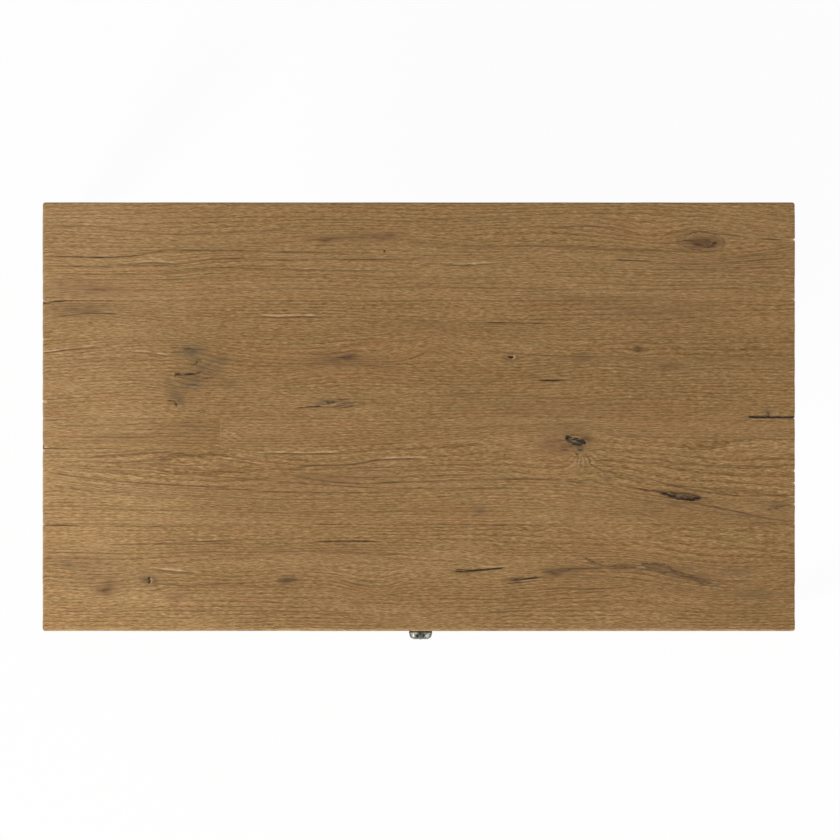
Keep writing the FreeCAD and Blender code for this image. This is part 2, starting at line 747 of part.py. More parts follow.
def makeKnob():
    # A cast rosette on a waisted stem: a rounded rim, a ring of petals and a boss
    seat = ("knobOffset", "railFront", "knobHeight")
    turn = (0, 0, 90)
    knob = newBody("knob", seat, turn)
    addRod(knob, "knob_rim", "knobRadius", "knobRimThickness", "rimLow")
    easeEdges(knob, "knob_rim_rounding", "Fillet", "knobRimRounding",
              lambda edge: not isUpright(edge))
    addCone(knob, "knob_flare", "knobNeckRadius", "knobRadius - knobRimRounding",
            "(rimLow - neckLow) / 2", "(rimLow + neckLow) / 2")
    addRod(knob, "knob_neck", "knobNeckRadius", "(rimLow - neckLow) / 2", "neckLow")
    addCone(knob, "knob_foot", "knobFootRadius", "knobNeckRadius", "knobFootHeight",
            "backPlateThickness")
    boss = knob.newObject("PartDesign::AdditiveSphere", "knob_boss")
    bindAll(boss, ("Radius", "Placement.Base.z"), ("bossRadius", "knobProjection - bossRadius"))
    for index in range(petalCount):
        petal = knob.newObject("PartDesign::AdditiveEllipsoid", f"knob_petal_{index}")
        turned = FreeCAD.Rotation(360 * index / petalCount, 0, 0)
        petal.Placement = FreeCAD.Placement(FreeCAD.Vector(), turned)
        bindAll(petal, ("Radius1", "Radius2", "Radius3"),
                ("petalHeight", "petalReach", "petalBreadth"))
        outwards = turned.multVec(FreeCAD.Vector(1, 0, 0))
        bindAll(petal, ("Placement.Base.x", "Placement.Base.y", "Placement.Base.z"),
                (f"{outwards.x:.9f} * petalRing", f"{outwards.y:.9f} * petalRing", "petalSeat"))
    plate = newBody("knob_back_plate", seat, turn)
    addRod(plate, "knob_back_plate_disc", "backPlateRadius", "backPlateThickness")
    easeEdges(plate, "knob_back_plate_rounding", "Fillet", "backPlateThickness / 2",
              isAtHeight("backPlateThickness"))
    bolt = newBody("knob_bolt", seat, turn)
    addRod(bolt, "knob_bolt_shank", "knobBoltRadius",
           "drawerFrontThickness + backPlateThickness + knobBoltDepth", "-drawerFrontThickness")
    addRod(bolt, "knob_bolt_head", "knobBoltHeadRadius", "knobBoltHeadHeight",
           "-drawerFrontThickness - knobBoltHeadHeight")
    easeEdges(bolt, "knob_bolt_dome", "Fillet", "knobBoltHeadHeight / 2",
              isAtHeight("-drawerFrontThickness - knobBoltHeadHeight"))
    keep("knob", cut("knob", knob, [bolt]))
    keep("knob_back_plate", cut("knob_back_plate", plate, [bolt]))
    keep("knob_bolt", bolt)
    return bolt


pegs = makePegs()
panels = makePanels()
posts = makePosts(panels)
runners = makeRunners()
aprons = makeAprons(pegs, runners)
rails = makeRails(panels, posts, runners)
makeLegs(aprons, rails, panels, pegs)
topScrews = makeButtons() + makeBattens()
topScrews += document.getObject("railScrews").Links
makeTop(topScrews)
makeDrawer()
document.recompute()

# Nothing is written unless every object of the document is sound
for thing in document.Objects:
    if "Invalid" in thing.State or "Error" in thing.State:
        raise RuntimeError(f"{thing.Name} did not rebuild: {thing.State}")
for node, thing in nodes.items():
    if thing.Shape.isNull() or not thing.Shape.isValid() or not thing.Shape.Solids:
        raise RuntimeError(f"{node} has no sound solid")
for node, thing in nodes.items():
    thing.Shape.exportStep(f"parts/{node}.step")
whole = Part.makeCompound([thing.Shape for thing in nodes.values()]).BoundBox
print(len(nodes), "nodes", [round(side, 2) for side in (whole.XMin, whole.XMax, whole.YMin,
                                                        whole.YMax, whole.ZMin, whole.ZMax)])
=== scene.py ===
import bpy
import math
import numpy as np
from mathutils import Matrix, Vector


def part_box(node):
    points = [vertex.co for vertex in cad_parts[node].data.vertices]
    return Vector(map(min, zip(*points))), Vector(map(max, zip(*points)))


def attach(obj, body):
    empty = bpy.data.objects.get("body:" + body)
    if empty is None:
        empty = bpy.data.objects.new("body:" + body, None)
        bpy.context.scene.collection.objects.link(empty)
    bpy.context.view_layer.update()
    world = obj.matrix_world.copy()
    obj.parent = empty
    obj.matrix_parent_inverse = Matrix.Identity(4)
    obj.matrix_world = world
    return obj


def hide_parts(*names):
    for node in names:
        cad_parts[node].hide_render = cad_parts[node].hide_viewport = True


# An oak writing desk seen from straight above: a top of four rough sawn planks with knots,
# checks and gouges, tapered legs, and a pencil drawer with an aged cast knob.
# Lengths are metres. Places on the top are chosen in the photograph's own pixels.

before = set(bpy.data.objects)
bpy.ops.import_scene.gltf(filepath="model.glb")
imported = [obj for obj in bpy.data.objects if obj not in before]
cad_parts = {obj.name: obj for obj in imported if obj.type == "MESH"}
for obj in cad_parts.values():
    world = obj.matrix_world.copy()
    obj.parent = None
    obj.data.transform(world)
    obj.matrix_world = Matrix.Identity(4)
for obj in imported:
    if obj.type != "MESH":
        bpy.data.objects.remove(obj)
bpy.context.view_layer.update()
print("frame loaded,", len(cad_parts), "nodes")

# where the top lies in the photograph, in its pixels
photo = {"left": 42.5, "right": 795.0, "back": 202.5, "front": 631.0, "width": 840}

backLow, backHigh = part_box("top_board_1")
top = {
    "left": backLow.x,
    "right": backHigh.x,
    "back": backHigh.y,
    "front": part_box("top_board_4")[0].y,
    "height": backHigh.z,
}
pixel = (top["right"] - top["left"]) / (photo["right"] - photo["left"])


def toX(across):
    return top["left"] + (across - photo["left"]) * pixel


def toY(down):
    share = (down - photo["back"]) / (photo["front"] - photo["back"])
    return top["back"] + (top["front"] - top["back"]) * share


def toPhoto(x, y):
    # the pixel that a place on the top has in the photograph
    share = (y - top["back"]) / (top["front"] - top["back"])
    down = photo["back"] + (photo["front"] - photo["back"]) * share
    return photo["left"] + (x - top["left"]) / pixel, down


def linear(red, green, blue):
    # a colour as it is seen, 0 to 255, turned into the renderer's own measure by the curve
    # of screens: a straight foot below, a power of 2.4 above
    shares = np.array([red, green, blue]) / 255
    bright = ((shares + 0.055) / 1.055) ** 2.4
    return (*np.where(shares <= 0.04045, shares / 12.92, bright), 1.0)


def newObject(name, data):
    made = bpy.data.objects.new(name, data)
    bpy.context.scene.collection.objects.link(made)
    return made


# shader maths

class Wire:
    # one output of a node; sums and products with it add the nodes that work them out
    def __init__(self, shader, socket):
        self.shader = shader
        self.socket = socket

    def maths(self, operation, first, second):
        return self.shader.node("ShaderNodeMath", {"operation": operation},
                                {0: first, 1: second})

    def __add__(self, other):
        return self.maths("ADD", self, other)

    def __radd__(self, other):
        return self.maths("ADD", other, self)

    def __sub__(self, other):
        return self.maths("SUBTRACT", self, other)

    def __rsub__(self, other):
        return self.maths("SUBTRACT", other, self)

    def __mul__(self, other):
        return self.maths("MULTIPLY", self, other)

    def __truediv__(self, other):
        return self.maths("DIVIDE", self, other)

    def __pow__(self, other):
        return self.maths("POWER", self, other)

    def __mod__(self, other):
        return self.maths("FLOORED_MODULO", self, other)

    def swing(self):
        # how far a noise, which runs from 0 to 1, stands from its middle
        return self - 0.5


def setStops(ramp, stops):
    while len(ramp.elements) < len(stops):
        ramp.elements.new(1.0)
    for element, (place, colour) in zip(ramp.elements, stops):
        element.position = place
        element.color = linear(*colour)


class Shader:
    # the nodes of a new material, or of the world, with one method that adds any node
    def __init__(self, owner):
        self.owner = owner
        owner.use_nodes = True
        self.tree = owner.node_tree
        self.tree.nodes.clear()

    def node(self, kind, settings=None, inputs=None, output=0):
        made = self.tree.nodes.new(kind)
        for key, value in (settings or {}).items():
            if key == "stops":
                setStops(made.color_ramp, value)
            else:
                setattr(made, key, value)
        for key, value in (inputs or {}).items():
            if isinstance(value, Wire):
                self.tree.links.new(value.socket, made.inputs[key])
            else:
                made.inputs[key].default_value = value
        return Wire(self, made.outputs[output]) if made.outputs else made

    def outputs(self, wire):
        # every output of the wire's own node
        return [Wire(self, socket) for socket in wire.socket.node.outputs]

    def split(self, vector):
        return self.outputs(self.node("ShaderNodeSeparateXYZ", None, {0: vector}))

    def join(self, x, y, z):
        return self.node("ShaderNodeCombineXYZ", None, {0: x, 1: y, 2: z})

    def place(self):
        # the object's own coordinates, its fourth kind of output
        return self.node("ShaderNodeTexCoord", None, None, 3)

    def painted(self, name):
        # the channels painted on the mesh under this name
        return self.split(self.node("ShaderNodeAttribute", {"attribute_name": name}))

    def noise(self, vector, scale, detail, roughness=0.5):
        values = {"Vector": vector, "Scale": scale, "Detail": detail, "Roughness": roughness}
        return self.node("ShaderNodeTexNoise", {"noise_dimensions": "3D"}, values)

    def between(self, value, low, high):
        # 0 below low, 1 above high, and smooth from one to the other
        values = {0: value, 1: low, 2: high}
        return self.node("ShaderNodeMapRange", {"interpolation_type": "SMOOTHSTEP"}, values)

    def ramp(self, factor, stops):
        return self.node("ShaderNodeValToRGB", {"stops": stops}, {0: factor})

    def paint(self, factor, under, colour):
        # a seen colour over the one below it, as strongly as the factor says
        inputs = {0: factor, 6: under, 7: linear(*colour)}
        settings = {"data_type": "RGBA", "clamp_factor": True}
        return self.node("ShaderNodeMix", settings, inputs, 2)

    def seen(self):
        # 1 to the camera, in reflections and through glass, 0 for the light on other things
        path = {wire.socket.name: wire
                for wire in self.outputs(self.node("ShaderNodeLightPath"))}
        total = path["Is Camera Ray"] + path["Is Glossy Ray"] + path["Is Transmission Ray"]
        return self.between(total, 0.0, 1.0)

    def finish(self, colour, roughness, height, depth, strength, **fixed):
        bump = self.node("ShaderNodeBump", None, {
            "Height": height, "Distance": depth, "Strength": strength})
        inputs = {"Base Color": colour, "Roughness": roughness, "Normal": bump}
        inputs.update({key.replace("_", " "): value for key, value in fixed.items()})
        surface = self.node("ShaderNodeBsdfPrincipled", None, inputs)
        self.node("ShaderNodeOutputMaterial", None, {"Surface": surface})
        return self.owner


# the shape of the planks, worked out on whole grids

def steps(value):
    # smooth from 0 to 1: 3 times the square less 2 times the cube
    held = np.clip(value, 0, 1)
    return held * held * (3 - 2 * held)


def bell(away):
    return np.exp(-away ** 2)


def ripple(across, down, seed, lengthAcross, lengthDown):
    # smooth random relief: a seeded lattice of heights from -1 to 1, blended by steps; the
    # shifts keep the lattice's own lines away from the origin
    size = 257
    lattice = np.random.default_rng(seed).uniform(-1, 1, (size, size))
    x = across / lengthAcross + 11.3
    y = down / lengthDown + 17.7
    column = np.floor(x).astype(int)
    row = np.floor(y).astype(int)
    alongX = steps(x - column)
    alongY = steps(y - row)
    corner = [lattice[(column + i) % size, (row + j) % size] for i in (0, 1) for j in (0, 1)]
    near = corner[0] * (1 - alongY) + corner[1] * alongY
    far = corner[2] * (1 - alongY) + corner[3] * alongY
    return near * (1 - alongX) + far * alongX


def curve(across, points):
    # a smooth line through the points, given as its place down for each place across
    xs, ys = np.array(points, float).T
    slopes = np.gradient(ys, xs)
    index = np.clip(np.searchsorted(xs, across) - 1, 0, len(xs) - 2)
    span = xs[index + 1] - xs[index]
    share = np.clip((across - xs[index]) / span, 0, 1)
    rise = ys[index + 1] - ys[index]
    bend = slopes[index] * span * share * (1 - share) ** 2
    bend -= slopes[index + 1] * span * share ** 2 * (1 - share)
    return ys[index] + rise * steps(share) + bend


def lineMask(across, down, points, reach, fade, shift=0.0):
    # a soft line: a bell across it, of the reach, that fades at its ends
    middle = curve(across, points) + shift
    start = steps((across - points[0][0]) / fade)
    end = steps((points[-1][0] - across) / fade)
    return bell((down - middle) / reach) * start * end


def spotMask(across, down, x, y, reachX, reachY):
    # a soft oval spot: a bell of the squared distance from its middle
    return np.exp(-((across - x) / reachX) ** 2 - ((down - y) / reachY) ** 2)


def strokeMask(across, down, points, outside=1.45):
    # a brush stroke through points that each give a place and a half width: 1 in its middle
    # and 0 from the half widths outside on, by the distance to its nearest piece
    mask = np.zeros_like(across)
    for (x0, y0, wide0), (x1, y1, wide1) in zip(points[:-1], points[1:]):
        lengthSquared = (x1 - x0) ** 2 + (y1 - y0) ** 2
        share = ((across - x0) * (x1 - x0) + (down - y0) * (y1 - y0)) / lengthSquared
        share = np.clip(share, 0, 1)
        distance = np.hypot(across - x0 - share * (x1 - x0), down - y0 - share * (y1 - y0))
        half = wide0 + (wide1 - wide0) * share
        mask = np.maximum(mask, steps(outside - distance / half))
    return mask


# What the photograph shows on each plank, back to front, chosen in its pixels.
# seed: the start of its random reliefs and noises
# fine: places across where the grid is closer, each with its reach
# spacing: metres from one growth line of the finish to the next
# tone: lighter or darker than the others; contrast: the strength of its figure
# flow: lines that the grain follows from end to end, back to front
# growth: drawn growth lines, each with its half width and strength
# cracks: black checks, partly painted shade inside them; scrapes: gouges, each with its
# half width, with a painted highlight on their back side and painted shade in front
# knots: middle, reach, how dark and how red
# strokes: for each mark that they add, their strength, then points with half widths
# stains: middle, reach, then how dark, how red and how grey
# notches: the end that is chipped, the place down, the reach and the depth; each also
# takes a pale painted highlight
planks = {
    "top_board_1": {
        "seed": 11, "spacing": 0.005, "tone": 0.03, "contrast": 0.86,
        "fine": [(704, 22), (385, 4)],
        "flow": [
            [(42, 214), (240, 213), (460, 212), (620, 211), (720, 214), (795, 222)],
            [(42, 229), (140, 231), (223, 233), (300, 230), (450, 229), (590, 227), (650, 237),
                (700, 230), (760, 236), (795, 239.5)],
            [(42, 242), (220, 243), (397, 240), (457, 246), (550, 246), (640, 249), (700, 256),
                (740, 254), (795, 249)],
            [(42, 256), (95, 257), (157, 252), (220, 250.5), (300, 252), (457, 256), (600, 260),
                (700, 264), (795, 259)],
            [(42, 267), (123, 265.5), (178, 264), (198, 261), (300, 259.7), (450, 262),
                (620, 268), (795, 266)],
            [(42, 274), (178, 272), (207, 269), (300, 269.7), (480, 272), (795, 276)],
            [(42, 300), (795, 300)],
        ],
        "growth": [
            (0.8, 0.75, [(53, 255.5), (95, 257), (140, 255.5), (157, 252), (220, 250.5),
                (300, 252), (360, 254)]),
            (0.6, 0.8, [(43, 267), (123, 265.5), (178, 264), (198, 261), (300, 259.7),
                (430, 259)]),
            (0.6, 0.6, [(50, 274), (178, 272), (207, 269), (300, 269.7), (420, 271)]),
            (0.7, 0.5, [(43, 227), (103, 227.5), (140, 232), (182, 234), (223, 233), (300, 229)]),
            (0.6, 0.6, [(397, 240), (457, 246), (550, 246), (616, 249), (660, 252)]),
            (0.6, 0.7, [(540, 229), (590, 227), (623, 230), (650, 237.5)]),
            (0.6, 0.6, [(655, 238), (687, 231), (720, 234), (760, 238)]),
            (0.6, 0.6, [(540, 246), (615, 250), (663, 250.5), (700, 254)]),
            (0.7, 0.9, [(752, 238), (772, 239.5), (793, 240)]),
            (0.6, 0.6, [(728, 256), (760, 255), (793, 250)]),
            (0.6, 0.5, [(640, 262), (700, 264), (793, 257)]),
            (0.6, 0.45, [(640, 268), (720, 270), (793, 266)]),
            (0.6, 0.4, [(43, 280), (200, 279), (330, 276), (460, 278), (560, 277)]),
            (0.6, 0.4, [(300, 219), (420, 221), (520, 218)]),
            (0.8, 0.35, [(43, 289), (230, 290), (420, 287), (600, 290), (790, 287)]),
            (0.6, 0.4, [(560, 283), (660, 285), (793, 281)]),
        ],
        "cracks": [
            (0.55, [(608, 259.5), (630, 260.5), (658, 261)]),
            (0.45, [(48, 255.4), (66, 256.4), (95, 257.2), (110, 256.5)]),
        ],
        "scrapes": [
            (1.1, [(132, 263), (150, 261.5), (180, 263.5)]),
            (1.4, [(436, 263.3), (455, 264), (470, 264.2), (480, 263.4), (500, 262.4)]),
            (0.6, [(40, 251), (46, 251)]),
        ],
        "knots": [(703, 242.5, 20, 7, 0.42, 0.5)],
        "stains": [
            (330, 239, 20, 3, 0.28, 0.5, 0.1), (323, 241, 5, 2, 0.35, 0.4, 0.1),
            (372, 238, 28, 4, 0.22, 0.6, 0.1), (390, 235, 9, 2.4, 0.35, 0.5, 0.1),
            (384.5, 251, 1.3, 1.6, 0.9, 0, 0), (707, 243, 11, 4.5, 0.42, 0.25, 0.3),
            (700, 248, 18, 3.5, 0.2, 0.3, 0.2), (600, 300, 60, 5, 0.12, 0.3, 0.1),
            (86, 290, 50, 8, 0.11, 0.5, 0.0), (62, 284, 20, 4, 0.04, 0.35, 0.0),
        ],
        "strokes": {
            "line": [
                (0.7, [(684, 236, 0.6), (694, 232.6, 0.7), (708, 232.6, 0.7), (720, 235, 0.6)]),
                (0.6, [(680, 244, 0.5), (690, 248.6, 0.7), (704, 251.6, 0.6), (716, 250.5, 0.5)]),
                (0.8, [(692, 243.6, 0.6), (700, 244.6, 1.2), (708, 244, 0.8)]),
                (0.5, [(722, 238, 0.6), (725, 242, 1.0), (722, 248, 0.6)]),
                (0.8, [(676, 241, 0.5), (688, 240.4, 0.9), (698, 240.8, 1.2)]),
            ],
            "black": [
                (0.9, [(711.5, 243.8, 0.7), (713.5, 243.6, 1.3), (715.5, 243, 0.7)]),
                (0.6, [(463, 265.2, 0.4), (468, 265.4, 0.7), (474, 265, 0.5)]),
            ],
        },
        "notches": [("right", 239.8, 0.7, 1.8), ("right", 299.5, 0.8, 1.2)],
    },
    "top_board_2": {
        "seed": 23, "spacing": 0.0044, "tone": -0.01, "contrast": 0.91,
        "fine": [(188, 22), (511, 6), (638, 6), (333, 20), (768, 4)],
        "flow": [
            [(42, 302), (795, 300)],
            [(42, 318), (98, 313), (160, 316), (300, 318), (478, 322), (560, 323), (795, 320)],
            [(42, 340), (130, 336), (230, 338), (380, 336), (428, 330), (480, 337), (620, 341),
                (795, 340)],
            [(42, 352), (107, 346), (150, 345), (230, 352), (347, 357), (400, 352), (428, 342),
                (460, 350), (560, 356), (640, 357), (795, 358)],
            [(42, 372), (150, 366), (230, 376), (360, 368), (428, 372), (520, 373), (607, 364),
                (653, 368), (700, 364), (795, 368)],
            [(42, 392), (140, 388), (230, 392), (340, 390), (480, 390), (640, 388), (795, 388)],
            [(42, 418), (795, 418)],
        ],
        "growth": [
            (0.7, 0.6, [(47, 318), (98, 313), (118, 313)]),
            (0.6, 0.4, [(43, 352), (107, 346), (127, 342)]),
            (0.6, 0.4, [(43, 363), (100, 360), (170, 358)]),
            (0.6, 0.35, [(300, 340), (380, 342), (460, 338), (560, 343)]),
            (0.7, 0.45, [(470, 349), (500, 352), (560, 356), (640, 356)]),
            (0.6, 0.5, [(607, 364), (628, 358.5), (653, 363)]),
            (0.6, 0.5, [(607, 364), (628, 368.5), (653, 363)]),
            (0.6, 0.5, [(688, 361), (700, 358), (713, 361)]),
            (0.6, 0.5, [(688, 361), (700, 364), (713, 361)]),
            (0.6, 0.45, [(560, 356), (583, 354), (607, 361)]),
            (0.6, 0.4, [(640, 372), (720, 368), (793, 371)]),
            (0.6, 0.35, [(380, 398), (480, 394), (580, 399), (700, 396)]),
            (0.6, 0.35, [(230, 368), (300, 364), (400, 367)]),
            (0.6, 0.3, [(60, 384), (120, 380), (170, 383)]),
        ],
        "cracks": [
            (0.8, [(30, 303.6), (47, 302.6), (56, 301.4), (68, 300.9), (82, 300.9)]),
            (0.6, [(66, 300.8), (88, 300.8), (122, 301.2)]),
            (0.5, [(90, 301.3), (100, 301.2), (110, 300.8)]),
            (0.5, [(478, 322.5), (515, 323), (553, 323)]),
            (0.9, [(177, 375.5), (188, 374), (200, 373)]),
            (0.7, [(532, 380), (552, 380.5), (572, 379.5)]),
            (0.6, [(290, 408.5), (310, 407), (330, 406)]),
            (1.4, [(742, 416.6), (756, 417.2), (770, 417.6), (812, 417.2)]),
            (0.3, [(556, 417.6), (640, 417.2), (700, 417.2), (752, 417.0)]),
            (0.25, [(500, 299.6), (620, 299.4), (712, 298.9)]),
            (0.6, [(690, 299.2), (720, 298.9), (812, 298.9)]),
            (0.3, [(236, 300), (244, 299.8), (252, 300.2)]),
        ],
        "scrapes": [
            (1.1, [(94, 312.6), (104, 312.2), (112, 312.6), (124, 312.4)]),
            (1.2, [(254, 313.8), (275, 316.2), (296, 315.6), (325, 316)]),
            (1.2, [(128, 351.2), (150, 352.3), (160, 353.6), (174, 356)]),
            (1.0, [(28, 353.4), (50, 351.2), (73, 348), (104, 345.8)]),
            (0.8, [(552, 378.8), (566, 378.6), (578, 379)]),
            (0.5, [(756, 415.2), (778, 415.2), (806, 415.4)]),
        ],
        "knots": [
            (190, 374, 15, 14, 0.25, 0.1), (428, 355, 24, 10, -0.25, 0.0),
            (511, 357, 6.5, 4.5, 0.15, 0.1), (638, 349, 6, 4, 0.25, 0.35),
            (335, 404.5, 22, 4.5, 0.2, 0.0),
        ],
        "stains": [
            (190, 349.5, 7, 2.2, 0.5, 0.0, 1.1), (192, 352, 14, 7, 0.14, 0.1, 0.8),
            (202, 349, 6, 2.6, 0.16, 0.0, 0.8), (197, 362, 6, 4.0, 0.3, 0.3, 0.5),
            (214, 361, 11, 6, 0.16, 0.2, 0.6), (208, 371, 14, 7, 0.2, 0.3, 0.6),
            (224, 360, 8, 3, 0.16, 0.0, 0.6), (190, 384, 13, 6, 0.22, 0.0, 0.9),
            (196, 379, 9, 4, 0.16, 0.1, 0.7), (176, 393, 8, 7, 0.26, 0.15, 0.8),
            (168, 381, 5, 4, 0.14, 0.1, 0.6), (179, 402, 7, 3.2, 0.34, 0.15, 0.7),
            (165, 385, 8, 6, 0.05, 0.1, 0.25), (225, 385, 14, 5, 0.08, 0.2, 0.2),
            (347, 357, 10, 3, 0.6, 0.5, 0.2), (344, 358, 30, 6, 0.2, 0.45, 0.2),
            (222, 324, 2, 1.6, 0.4, 0.2, 0.1), (638, 349, 2.0, 1.8, 0.8, 0.4, 0),
            (583, 358, 12, 4, 0.14, 0.4, 0), (667, 366, 14, 3, 0.2, 0.4, 0.1),
            (335, 404, 19, 3.2, 0.5, 0.0, 0.7), (330, 401, 12, 2.4, 0.3, 0.0, 0.7),
            (650, 310, 60, 8, 0.1, 0.3, 0.1), (80, 310, 40, 7, 0.2, 0.35, 0.3),
            (768, 413, 3.0, 5.0, 0.4, 0, 0.2), (560, 410, 80, 10, 0.08, 0.2, 0),
        ],
        "strokes": {
            "pale": [
                # the first two, by the notches at the left end, are painted highlights
                (0.9, [(42.5, 339.2, 0.8), (46.5, 339.4, 0.6)]),
                (0.9, [(42.5, 400.6, 0.9), (46.5, 402.4, 0.6)]),
                (0.7, [(514, 355, 0.5), (515.2, 357, 0.8), (513.5, 359.6, 0.5)]),
                (0.4, [(322, 405.9, 0.4), (332, 404.4, 0.7), (342, 402.8, 0.4)]),
            ],
            "black": [
                (0.75, [(168.6, 399.8, 0.9), (174, 401.1, 1.2), (175.3, 402.8, 0.9),
                    (177.2, 404.7, 1.4)]), (0.45, [(177, 375, 0.8), (179.4, 374.6, 1.0)]),
                (1.0, [(508.6, 357, 0.6), (511.3, 357.2, 1.9), (513, 357.4, 1.0)]),
                (0.7, [(768, 407, 0.3), (768, 412, 0.7), (768.4, 416, 0.7)]),
                (0.6, [(317, 406, 0.5), (326, 404.2, 0.9), (336, 401.6, 0.6)]),
                (0.55, [(322, 407.6, 0.4), (333, 406.6, 0.8), (345, 404.6, 0.5)]),
            ],
            "dark": [
                (0.7, [(182, 402, 0.9), (182.6, 404.4, 0.9)]),
                (0.8, [(184, 349.8, 0.7), (189, 348.8, 1.5), (195, 349.4, 0.7)]),
                (1.1, [(175.6, 375.2, 1.1), (178.3, 374.6, 1.5), (182, 374, 1.0),
                    (194.6, 373.8, 1.0), (200, 372.2, 0.9)]),
                (0.8, [(192.4, 366, 0.7), (194.6, 364.3, 1.1), (197, 361, 1.0),
                    (201, 360.2, 0.7)]), (0.7, [(207.6, 372, 0.6), (211.5, 371.8, 0.9)]),
                (0.7, [(202, 378.5, 0.6), (206, 378.2, 0.9), (214.6, 377.4, 0.5)]),
                (0.8, [(328, 402.4, 0.5), (338, 399.8, 0.8), (350, 398.6, 0.5)]),
                (0.8, [(336, 408.4, 0.5), (348, 407, 0.7), (358, 405.4, 0.4)]),
            ],
            "red": [(0.6, [(197, 380.6, 1.0), (200, 380, 0.8)])],
            "line": [
                (0.6, [(504, 356, 0.5), (511, 353.4, 0.6), (518, 356.5, 0.5)]),
                (0.6, [(504, 358, 0.5), (511, 361, 0.6), (518, 358, 0.5)]),
                (0.6, [(634, 349, 0.5), (638, 346, 0.7), (642, 349, 0.5)]),
                (0.6, [(634, 349, 0.5), (638, 352.2, 0.7), (642, 349, 0.5)]),
                (0.6, [(340, 403, 0.5), (352, 402.6, 0.7), (364, 403, 0.4)]),
            ],
        },
        "notches": [
            ("left", 300.3, 1.8, 2.0), ("left", 339.5, 0.7, 0.8), ("left", 401.5, 0.7, 0.8),
        ],
    },
    "top_board_3": {
        "seed": 37, "spacing": 0.005, "tone": 0.01, "contrast": 0.94,
        "fine": [(576, 24), (682, 26), (606, 6)],
        "flow": [
            [(42, 418), (795, 418)],
            [(42, 450), (88, 449), (140, 447), (220, 446), (300, 445), (440, 442), (520, 436),
                (575, 434), (630, 438), (795, 440)],
            [(42, 458), (88, 457), (140, 454), (220, 451), (300, 462), (357, 461), (383, 457),
                (480, 456), (540, 450), (575, 449), (620, 454), (700, 464), (795, 470)],
            [(42, 466), (140, 471), (223, 476), (280, 473), (400, 472), (507, 468), (560, 472),
                (613, 472), (645, 478), (700, 484), (795, 490)],
            [(42, 472.5), (107, 480), (190, 486), (315, 484), (348, 484), (415, 482), (507, 480),
                (600, 486), (680, 497), (720, 500), (795, 503)],
            [(42, 492), (190, 498), (300, 503), (500, 500), (650, 506), (795, 512)],
            [(42, 524), (795, 524)],
        ],
        "growth": [
            (0.7, 0.9, [(82, 459), (92, 457.4), (108, 455.4), (126, 454.2), (142, 454)]),
            (0.6, 0.7, [(120, 454.6), (150, 452.6), (175, 453), (196, 456), (214, 461.6),
                (226, 464.4)]),
            (0.6, 0.4, [(84, 460.4), (96, 462), (140, 465), (200, 470), (260, 474)]),
            (0.5, 0.5, [(104, 458), (118, 455.5), (150, 454), (190, 455)]),
            (0.5, 0.5, [(104, 458), (118, 461), (150, 464), (190, 464)]),
            (0.6, 0.5, [(140, 460), (175, 455.5), (220, 458)]),
            (0.6, 0.5, [(140, 460), (175, 465), (220, 464)]),
            (0.8, 0.75, [(280, 472), (300, 467), (357, 464), (383, 459.5), (420, 459)]),
            (0.8, 0.75, [(280, 472), (290, 474.5), (315, 479.5), (348, 483), (415, 482),
                (507, 479), (550, 479.5), (600, 484)]),
            (0.6, 0.55, [(300, 472), (320, 469), (370, 468), (430, 466), (500, 463)]),
            (0.6, 0.55, [(300, 472), (320, 475), (370, 477.5), (430, 476), (500, 474)]),
            (0.5, 0.45, [(330, 472), (360, 471), (430, 471), (500, 469)]),
            (0.6, 0.65, [(43, 472.5), (107, 480), (190, 486), (300, 492.5), (420, 491)]),
            (0.6, 0.6, [(43, 466), (140, 472), (223, 477), (300, 483), (380, 488), (520, 487)]),
            (0.6, 0.4, [(43, 486), (120, 492), (240, 498), (380, 500)]),
            (0.6, 0.5, [(590, 456), (613, 461), (660, 463), (793, 468)]),
            (0.6, 0.55, [(613, 472), (645, 478), (681, 486), (720, 489), (793, 490)]),
            (0.7, 0.8, [(690, 501.5), (704, 504.8), (734, 511), (769, 518.6), (800, 524)]),
            (0.7, 0.8, [(688, 488), (704, 491.4), (724, 494.5), (760, 495.4), (800, 496)]),
            (0.6, 0.4, [(560, 496), (640, 500), (700, 510), (770, 519)]),
            (0.5, 0.4, [(592, 432), (640, 436), (700, 438), (793, 439)]),
            (0.5, 0.4, [(400, 430), (480, 427), (550, 424), (600, 422)]),
            (0.5, 0.4, [(420, 444), (500, 444), (545, 436)]),
            (0.5, 0.4, [(592, 447), (650, 450), (720, 452), (793, 452)]),
            (0.6, 0.35, [(43, 505), (180, 511), (330, 512), (500, 508)]),
        ],
        "cracks": [
            (0.55, [(30, 448.2), (56, 448.1), (75, 448.0)]),
            (0.25, [(60, 448.0), (90, 448.0), (120, 448.0)]),
            (0.5, [(627, 487), (640, 488.5), (656, 491)]),
            (0.55, [(732, 523.2), (760, 523), (796, 523.2)]),
        ],
        "scrapes": [
            (1.1, [(216, 458.6), (239, 460), (250, 462), (268, 465)]),
            (1.3, [(252, 452.2), (275, 452.6), (300, 452.8), (344, 452.2)]),
            (1.4, [(374, 459), (390, 458.4), (406, 457.8), (432, 457.8)]),
            (0.7, [(763, 457), (775, 457), (786, 457)]),
            (0.7, [(540, 462), (552, 460), (562, 456)]),
        ],
        "knots": [
            (575.5, 441.5, 16, 9.5, 0.25, 0.35), (682, 496, 22, 5, 0.3, 0.4),
            (606, 478, 6, 3, 0.2, 0.1),
        ],
        "stains": [
            (562, 447, 12, 7, 0.16, 0.7, 0.1), (577, 442, 10, 6, 0.22, 0.4, 0.2),
            (552, 443, 15, 8, 0.14, 0.55, 0.1), (588, 441, 6, 6, 0.06, 0.5, 0),
            (684, 502, 15, 3, 0.15, 0.6, 0), (480, 510.5, 6, 4.5, 0.26, 0.1, 0.6),
            (165, 461, 5, 3, 0.35, 0.2, 0.4), (223, 465, 4, 2, 0.45, 0.3, 0.2),
